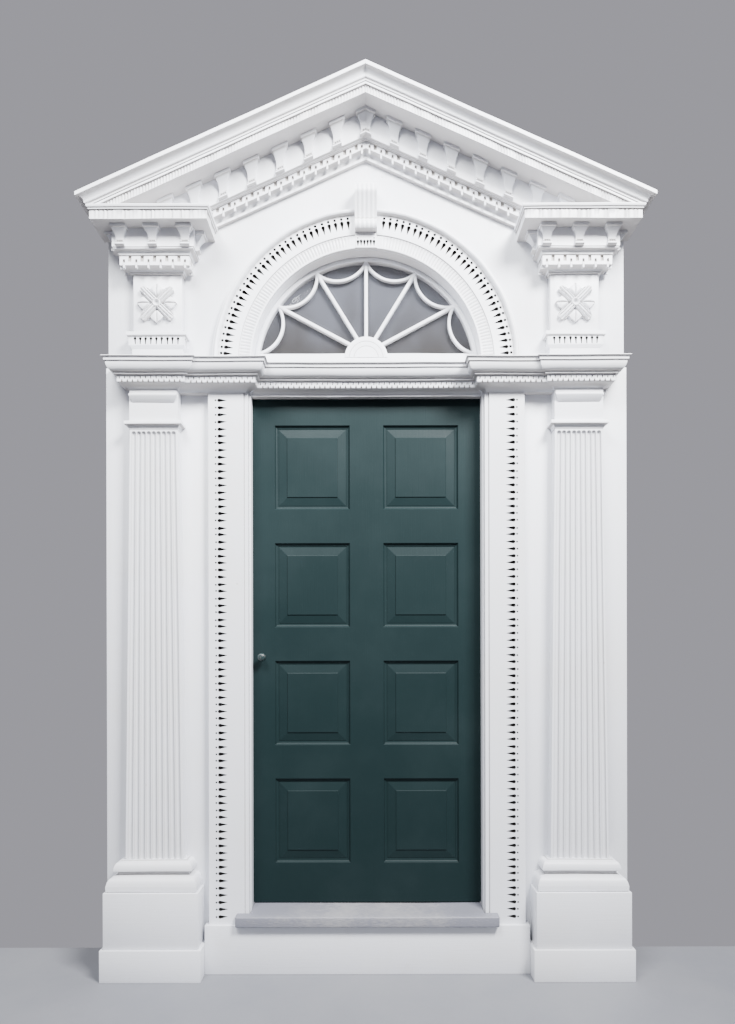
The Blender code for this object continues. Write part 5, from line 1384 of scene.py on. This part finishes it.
# %% Fret of the rake
RAKE_FRET_FACE = 0.013
RAKE_FRET_FOOT = 0.236
RAKE_FOOT = 0.268
fret_out = RAKE_FRET_FACE - BOARD_FACE
rake_fret = [(-RAKE_FOOT, fret_out - 0.0260), (-0.2668, fret_out - 0.0250),
             (-0.2565, fret_out - 0.0250), (-0.2558, fret_out - 0.0285)]
rake_fret += cove((-0.2550, fret_out - 0.0285), (-0.2375, fret_out - 0.0080), 6)
rake_fret += [(-0.2366, fret_out - 0.0012), (-RAKE_FRET_FOOT, fret_out),
              (-RAKE_BED - 0.0012, fret_out), (-RAKE_BED - GAP, fret_out - 0.001)]
course = moulding("rake_fret", rake_fret, (0, 0), (GAP / 2, BOARD_HALF), block_back,
                  BOARD_FACE, apex_z, paint_level, slope=RAKE_SLOPE)
FIRST_GAP = 0.016
FRET_PITCH = 0.0487
reach_x = blocks[0] - WALL_OUT
gaps = int((reach_x - FIRST_GAP) / FRET_PITCH) + 1
start = at(FIRST_GAP, RAKE_FRET_FACE, -RAKE_SLOPE * FIRST_GAP)
hung = fret(course, start, (FRET_PITCH, 0, -RAKE_SLOPE * FRET_PITCH), gaps - 1, gaps,
            Vector((0.0, 0.0, apex_z - RAKE_FRET_FOOT - 0.004)), RAKE_SLOPE)
settle_pair(join("rake_fret", [sawn_off(course), sawn_off(hung)]), "raking_fret",
            "raking_dentils")
discard(upper_gap, lower_gap, drop, small_bracket, rake_bracket, peak_bracket, below_blocks)

# %% [markdown]
# ## Fanlight
#
# The half-round window over the door has a rim, a bottom rail, five spokes and six
# swags, which meet in a half-round hub. Glazing bars are long thin mouldings, so each is
# a small section swept along a path. Their ends simply run into each other and stay one
# piece, as glued joints under paint look.

# %% Bars swept along a path
SASH_FRONT = -0.085
SASH_BACK = -0.115
RAIL_HEIGHT = 0.0977
RIM_HALF = 0.010
sash_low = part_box("fanlight_sash")[0]
rail_top_z = sash_low.z + RAIL_HEIGHT


def swept(name, path, section, paint):
    """Carry a section of sideways and depth values along a path in X and Z."""
    rings = []
    for i, here in enumerate(path):
        before = path[max(i - 1, 0)]
        after = path[min(i + 1, len(path) - 1)]
        along = Vector((after[0] - before[0], after[1] - before[1])).normalized()
        rings.append([at(here[0] - along.y * side, depth, here[1] + along.x * side)
                      for side, depth in section])
    piece = stack(name, rings, paint)
    build = bmesh.new()
    build.from_mesh(piece.data)
    bmesh.ops.recalc_face_normals(build, faces=build.faces)
    build.to_mesh(piece.data)
    build.free()
    return piece


def bar_section(half, front, back, flat=0.42):
    """A glazing bar: square behind, with a quarter round on each front edge."""
    edge = half * (1 - flat)
    curve = [(half - edge * (1 - math.cos(t)), front - 0.006 * (1 - math.sin(t)))
             for t in (math.pi / 2 * i / 4 for i in range(5))]
    return [(half, back)] + curve + [(-side, depth) for side, depth in curve[::-1]] \
        + [(-half, back)]


rim_turns = [math.pi * i / 96 for i in range(97)]
rim_mid = ARCH_RADIUS - GAP - RIM_HALF
rim_path = [(rim_mid * math.cos(t), ARCH_CENTRE_Z + rim_mid * math.sin(t)) for t in rim_turns]
rim_path = [(rim_mid, sash_low.z)] + rim_path + [(-rim_mid, sash_low.z)]
sash_parts = [swept("rim", rim_path, bar_section(RIM_HALF, SASH_FRONT, SASH_BACK, 0.3),
                    paint_fine)]
inner_radius = rim_mid - RIM_HALF
rail_outline = [(0.0003, 0.0), (0.018, 0.0), (0.019, -0.0015), (0.0205, -0.0015), (0.0215, 0.0),
                (0.052, 0.0), (0.053, -0.0015), (0.0545, -0.0015), (0.0555, 0.0),
                (0.088, 0.0), (0.093, -0.002), (0.0965, -0.006), (RAIL_HEIGHT, -0.009)]
rail_half = inner_radius + 0.003
sash_parts.append(moulding("rail", rail_outline, (0, 0), (-rail_half, rail_half),
                           SASH_BACK + 0.001, SASH_FRONT - 0.001, sash_low.z, paint_level))
SPOKE_HALF = 0.0078
SWAGS = 6
last_turn = math.acos((rail_top_z - ARCH_CENTRE_Z) / inner_radius)
swag_turns = [last_turn * (2 * i / SWAGS - 1) for i in range(SWAGS + 1)]
for i, turn in enumerate(swag_turns[1:-1]):
    tip_x = math.sin(turn) * (inner_radius + 0.004)
    tip_z = ARCH_CENTRE_Z + math.cos(turn) * (inner_radius + 0.004)
    path = [(tip_x * s, rail_top_z + (tip_z - rail_top_z) * s) for s in (0.06, 0.4, 0.7, 1.0)]
    section = bar_section(SPOKE_HALF, SASH_FRONT - 0.002 - 0.0002 * i, SASH_FRONT - 0.022)
    sash_parts.append(swept("spoke", path, section, paint_fine))
print("fanlight parts so far:", len(sash_parts))

# %% Swags and hub
SWAG_SAG = 0.056
SWAG_HALF = 0.0068
swag_ends = [Vector((math.sin(t), math.cos(t))) * (inner_radius + 0.002) for t in swag_turns]
for i in range(SWAGS):
    a, b = swag_ends[i], swag_ends[i + 1]
    half = (b - a).length / 2
    radius = (half ** 2 + SWAG_SAG ** 2) / (2 * SWAG_SAG)
    outward = ((a + b) / 2).normalized()
    along = (b - a).normalized()
    centre = (a + b) / 2 + outward * (radius - SWAG_SAG) + Vector((0.0, ARCH_CENTRE_Z))
    spread = math.asin(half / radius)
    path = [centre + (along * math.sin(t) - outward * math.cos(t)) * radius
            for t in (spread * (2 * k / 20 - 1) for k in range(21))]
    section = bar_section(SWAG_HALF, SASH_FRONT - 0.004 - 0.0002 * i, SASH_FRONT - 0.021)
    sash_parts.append(swept("swag", path, section, paint_fine))
HUB_RADIUS = 0.094
hub_z = rail_top_z - 0.024
steps = [(1.0, -0.012), (1.0, 0.0), (0.97, 0.001), (0.80, 0.001), (0.785, -0.0008),
         (0.76, 0.001), (0.58, 0.001), (0.565, -0.0008), (0.54, 0.001), (0.30, 0.0015)]
points = [at(0.0, SASH_FRONT + 0.0015, hub_z)]
HUB_SIDES = 64
for share, out in steps:
    points += [at(HUB_RADIUS * share * math.sin(t), SASH_FRONT + out,
                  hub_z + HUB_RADIUS * share * math.cos(t))
               for t in (2 * math.pi * k / HUB_SIDES for k in range(HUB_SIDES))]
faces = [tuple(range(1, 1 + HUB_SIDES))]
for level in range(len(steps) - 1):
    low = 1 + level * HUB_SIDES
    faces += [(low + k, low + HUB_SIDES + k, low + HUB_SIDES + (k + 1) % HUB_SIDES,
               low + (k + 1) % HUB_SIDES) for k in range(HUB_SIDES)]
last = 1 + (len(steps) - 1) * HUB_SIDES
faces += [(0, last + (k + 1) % HUB_SIDES, last + k) for k in range(HUB_SIDES)]
hub = new_piece("hub", points, faces, paint_fine)
below_rail = bite("below_rail", [(-0.2, -0.2), (0.2, -0.2), (0.2, 0.0), (-0.2, 0.0)], 0.1, 1.0)
cut_row(hub, below_rail, 1, at(0.0, SASH_FRONT + 0.05, hub_z + 0.004), finish=paint_fine)
discard(below_rail)
settle(join("fanlight_bars", sash_parts + [hub]), "fanlight_sash")

# %% [markdown]
# ## Glass
#
# Old crown glass is thin and clear, with slow ripples from the spinning. It is the solid
# pane itself with a new material: a partly see-through grey, a painted shade of a dark hall
# behind it. It is painted paler towards the top and along the ripples, a painted
# reflection of a bright ceiling, and a very wide, weak bump gives the ripples.

# %% Window glass
PAINTED_HALL_SHADE = (0.036, 0.034, 0.033, 1.0)
PAINTED_CEILING_REFLECTION = (0.090, 0.095, 0.112, 1.0)
glass = Paint("window_glass_clear", Roughness=0.07, Alpha=0.60, Specular_IOR_Level=0.30)
flat = glass.places((1.0, 1.0, 0.7))
ripples = glass.noise(flat, 6.0, 2.0)
height = glass.node("ShaderNodeSeparateXYZ", {}, {0: glass.places()}, "Z").ramp(2.60, 3.00)
lit = (ripples * 0.9 + height * 0.75).ramp(0.35, 1.15)
# Painted shade of a dark hall, paler towards the top and along the ripples: a painted reflection of
# a bright ceiling.
glass.drive("Base Color", glass.blend(lit, PAINTED_HALL_SHADE, PAINTED_CEILING_REFLECTION))
glass.drive("Normal", glass.bump(ripples, 0.0020))
pane = merged_copy("fanlight_glass", "pane", glass.material)
settle(pane, "fanlight_glass", slot="window_glass")
print("pane faces:", len(pane.data.polygons))

# %% [markdown]
# ## Door
#
# Eight panels sit in a frame of stiles and rails. Each panel is a set of nested
# rectangles: a quarter-round moulding down into the frame, a sloping margin that rises
# again, and a flat field. The list below gives the inset and the depth of each
# rectangle, and the mitres at the corners come by themselves.

# %% Door paint
TEAL = (0.0072, 0.0165, 0.0175, 1.0)
TEAL_WORN = (0.0140, 0.0250, 0.0262, 1.0)
door_paint = Paint("door_paint", Roughness=0.45, Specular_IOR_Level=0.12)
flat = door_paint.places()
brush = door_paint.noise(door_paint.places(UPRIGHT), 3.0, 4.0, 0.6)
cloudy = door_paint.noise(flat, 2.6, 4.0, 0.6)
scuffs = door_paint.noise(door_paint.places((3.0, 3.0, 9.0)), 9.0, 5.0, 0.7).ramp(0.60, 0.72)
door_paint.drive("Base Color", door_paint.blend(cloudy.ramp(0.35, 0.75) * 0.5 + scuffs * 0.12,
                                                TEAL, TEAL_WORN))
door_paint.drive("Roughness", brush * 0.10 + scuffs * 0.15 + 0.38)
door_paint.drive("Normal", door_paint.bump(brush * 0.6 + cloudy * 1.5, 0.0007))
print("door paint made")

# %% Leaf with eight panels
leaf_low, leaf_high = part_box("door_leaf")
LEAF_FRONT = FACE_Y - leaf_low.y
LEAF_BACK = FACE_Y - leaf_high.y
OPENING_HALF = 0.490
STILE = 0.0945
MULLION = 0.143
SILL_TOP = 0.260
HEAD_Z = 2.431
TOP_RAIL = 0.112
CROSS_RAIL = 0.1445
BOTTOM_RAIL = 0.174
panel_height = (HEAD_Z - SILL_TOP - TOP_RAIL - BOTTOM_RAIL - 3 * CROSS_RAIL) / 4
front_steps = [(0.0, 0.0), (0.0010, -0.0006)]
front_steps += [(0.0010 + 0.0120 * (1 - math.cos(t)), -0.0006 - 0.0090 * math.sin(t))
                for t in (math.pi / 2 * k / 10 for k in range(1, 11))]
front_steps += [(0.0140, -0.0112), (0.0170, -0.0112), (0.0176, -0.0100), (0.0520, -0.0050),
                (0.0530, -0.0046), (0.0538, -0.0024), (0.0550, -0.0018)]
back_steps = [(0.0, 0.0), (0.0020, -0.0040), (0.0150, -0.0092), (0.0170, -0.0100)]
columns = [leaf_low.x, -OPENING_HALF + STILE, -MULLION / 2, MULLION / 2, OPENING_HALF - STILE,
           leaf_high.x]
rows = [leaf_low.z]
for i in range(4):
    low = SILL_TOP + BOTTOM_RAIL + i * (panel_height + CROSS_RAIL)
    rows += [low, low + panel_height]
rows.append(leaf_high.z)
leaf_points = []
leaf_faces = []
for face, steps, way in ((LEAF_FRONT, front_steps, 1), (LEAF_BACK, back_steps, -1)):
    first = len(leaf_points)
    leaf_points += [at(x, face, z) for z in rows for x in columns]
    for r in range(9):
        for c in range(5):
            a = first + r * 6 + c
            cell = [a, a + 1, a + 7, a + 6]
            if r % 2 and c % 2:
                x0, x1, z0, z1 = columns[c], columns[c + 1], rows[r], rows[r + 1]
                for inset, depth in steps[1:]:
                    new = len(leaf_points)
                    leaf_points += [at(x, face + way * depth, z) for x, z in
                                    ((x0 + inset, z0 + inset), (x1 - inset, z0 + inset),
                                     (x1 - inset, z1 - inset), (x0 + inset, z1 - inset))]
                    for k in range(4):
                        side = (cell[k], cell[(k + 1) % 4], new + (k + 1) % 4, new + k)
                        leaf_faces.append(side[::way])
                    cell = [new, new + 1, new + 2, new + 3]
            leaf_faces.append(tuple(cell[::way]))
size = len(rows) * 6
other = len(leaf_points) - (len(back_steps) - 1) * 4 * 8 - size
rim = list(range(6)) + [5 + 6 * i for i in range(1, 10)] + [58 - i for i in range(5)]
rim += [6 * i for i in range(8, 0, -1)]
leaf_faces += [(after, start, other + start, other + after)
               for start, after in zip(rim, rim[1:] + rim[:1])]
leaf = new_piece("panelled_leaf", leaf_points, leaf_faces, door_paint.material)
round_edges(leaf, 0.0012, angle=80.0)
settle(leaf, "door_leaf", body="door", slot="green_paint")
shade(leaf, 9.5)
print("leaf faces:", len(leaf.data.polygons))

# %% [markdown]
# ## Knobs and hinges
#
# A knob is turned on a lathe, so its outline goes once round an axis that points out of
# the door. The same outline makes the knob on the back. The butt hinges keep their solid
# shape and only get softer edges and a dark paint that is worn through here and there.

# %% Turned knobs and butt hinges
IRON_PAINT = (0.016, 0.030, 0.031, 1.0)
BARE_IRON = (0.072, 0.066, 0.060, 1.0)
iron = Paint("painted_iron", Roughness=0.4, Metallic=0.0)
worn = iron.noise(iron.places((1.0, 1.0, 1.0)), 140.0, 4.0, 0.6).ramp(0.56, 0.66)
iron.drive("Base Color", iron.blend(worn, IRON_PAINT, BARE_IRON))
iron.drive("Roughness", worn * 0.18 + 0.30)
iron.drive("Normal", iron.bump(worn * -1.0, 0.0003))
KNOB_SIDES = 40
KNOB_OUTLINE = [(0.0140, 0.0), (0.0140, 0.0028), (0.0134, 0.0040), (0.0105, 0.0052),
                (0.0084, 0.0068), (0.0078, 0.0100), (0.0080, 0.0160), (0.0092, 0.0195)]
KNOB_OUTLINE += [(0.0170 * math.sin(t) ** 0.72, 0.0330 - 0.0120 * math.cos(t))
                 for t in (math.radians(48.0 + 12.0 * i) for i in range(10))]
for node, face, way in (("outer_knob", LEAF_FRONT, 1), ("inner_knob", LEAF_BACK, -1)):
    low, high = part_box(node)
    middle = (low + high) / 2
    points = []
    for radius, out in KNOB_OUTLINE:
        points += [at(middle.x + radius * math.cos(t), face + way * (out + GAP),
                      middle.z + radius * math.sin(t))
                   for t in (2 * math.pi * i / KNOB_SIDES for i in range(KNOB_SIDES))]
    faces = [tuple(range(KNOB_SIDES - 1, -1, -1))[::way]]
    for first in range(0, KNOB_SIDES * (len(KNOB_OUTLINE) - 1), KNOB_SIDES):
        faces += [(first + i, first + (i + 1) % KNOB_SIDES, first + KNOB_SIDES
                   + (i + 1) % KNOB_SIDES, first + KNOB_SIDES + i)[::way]
                  for i in range(KNOB_SIDES)]
    faces.append(tuple(range(len(points) - KNOB_SIDES, len(points)))[::way])
    settle(new_piece("turned_" + node, points, faces, iron.material), node, body="door",
           slot="painted_iron")
for place in ("lower", "upper"):
    for owner, body in (("door", "door"), ("jamb", "surround")):
        node = place + "_hinge_" + owner + "_half"
        half = merged_copy(node, "worn_" + node, iron.material)
        round_edges(half, 0.0004, angle=50.0)
        settle(half, node, body=body, slot="painted_iron")
print("knob outline of", len(KNOB_OUTLINE), "points")

# %% [markdown]
# ## Sill and floor
#
# Feet have scuffed the grey sill through to older coats, most of all in the middle, and
# its front edge is worn round. The floor is plain painted concrete with a faint mottle,
# so that it doesn't draw the eye.

# %% Worn grey sill
SILL_GREY = (0.200, 0.204, 0.240, 1.0)
OLD_COATS = (0.330, 0.325, 0.330, 1.0)
SILL_WEAR = 0.0060
sill_paint = Paint("sill_paint", Roughness=0.5)
flat = sill_paint.places()
cloudy = sill_paint.noise(flat, 3.2, 5.0, 0.65)
scratches = sill_paint.noise(sill_paint.places((4.0, 14.0, 14.0)), 14.0, 5.0, 0.75)
place = sill_paint.node("ShaderNodeSeparateXYZ", {}, {0: flat}, "X")
middle = 1.0 - (place * place * 3.2).ramp(0.0, 1.0)
scuffed = (cloudy * 0.7 + scratches * 0.6 + middle * 0.16).ramp(0.66, 0.92)
sill_paint.drive("Base Color", sill_paint.blend(scuffed * 0.8, SILL_GREY, OLD_COATS))
sill_paint.drive("Roughness", 0.42 + scuffed * 0.22)
sill_paint.drive("Normal", sill_paint.bump(scratches * 0.8 + cloudy + scuffed * 0.4, 0.0012))
sill = merged_copy("sill", "worn_sill", sill_paint.material)
round_edges(sill, SILL_WEAR, segments=4)
settle(sill, "sill", slot="grey_paint")

FLOOR_DARK = (0.185, 0.191, 0.214, 1.0)
FLOOR_PALE = (0.228, 0.232, 0.250, 1.0)
floor_paint = Paint("floor_paint", Roughness=0.7)
mottle = floor_paint.noise(floor_paint.places(), 1.6, 6.0, 0.6)
speckle = floor_paint.noise(floor_paint.places(), 55.0, 3.0, 0.6)
mottled = mottle.ramp(0.3, 0.7) * 0.7 + speckle * 0.3
floor_paint.drive("Base Color", floor_paint.blend(mottled, FLOOR_DARK, FLOOR_PALE))
floor.data.materials.append(floor_paint.material)
print("materials in all:", len(bpy.data.materials))
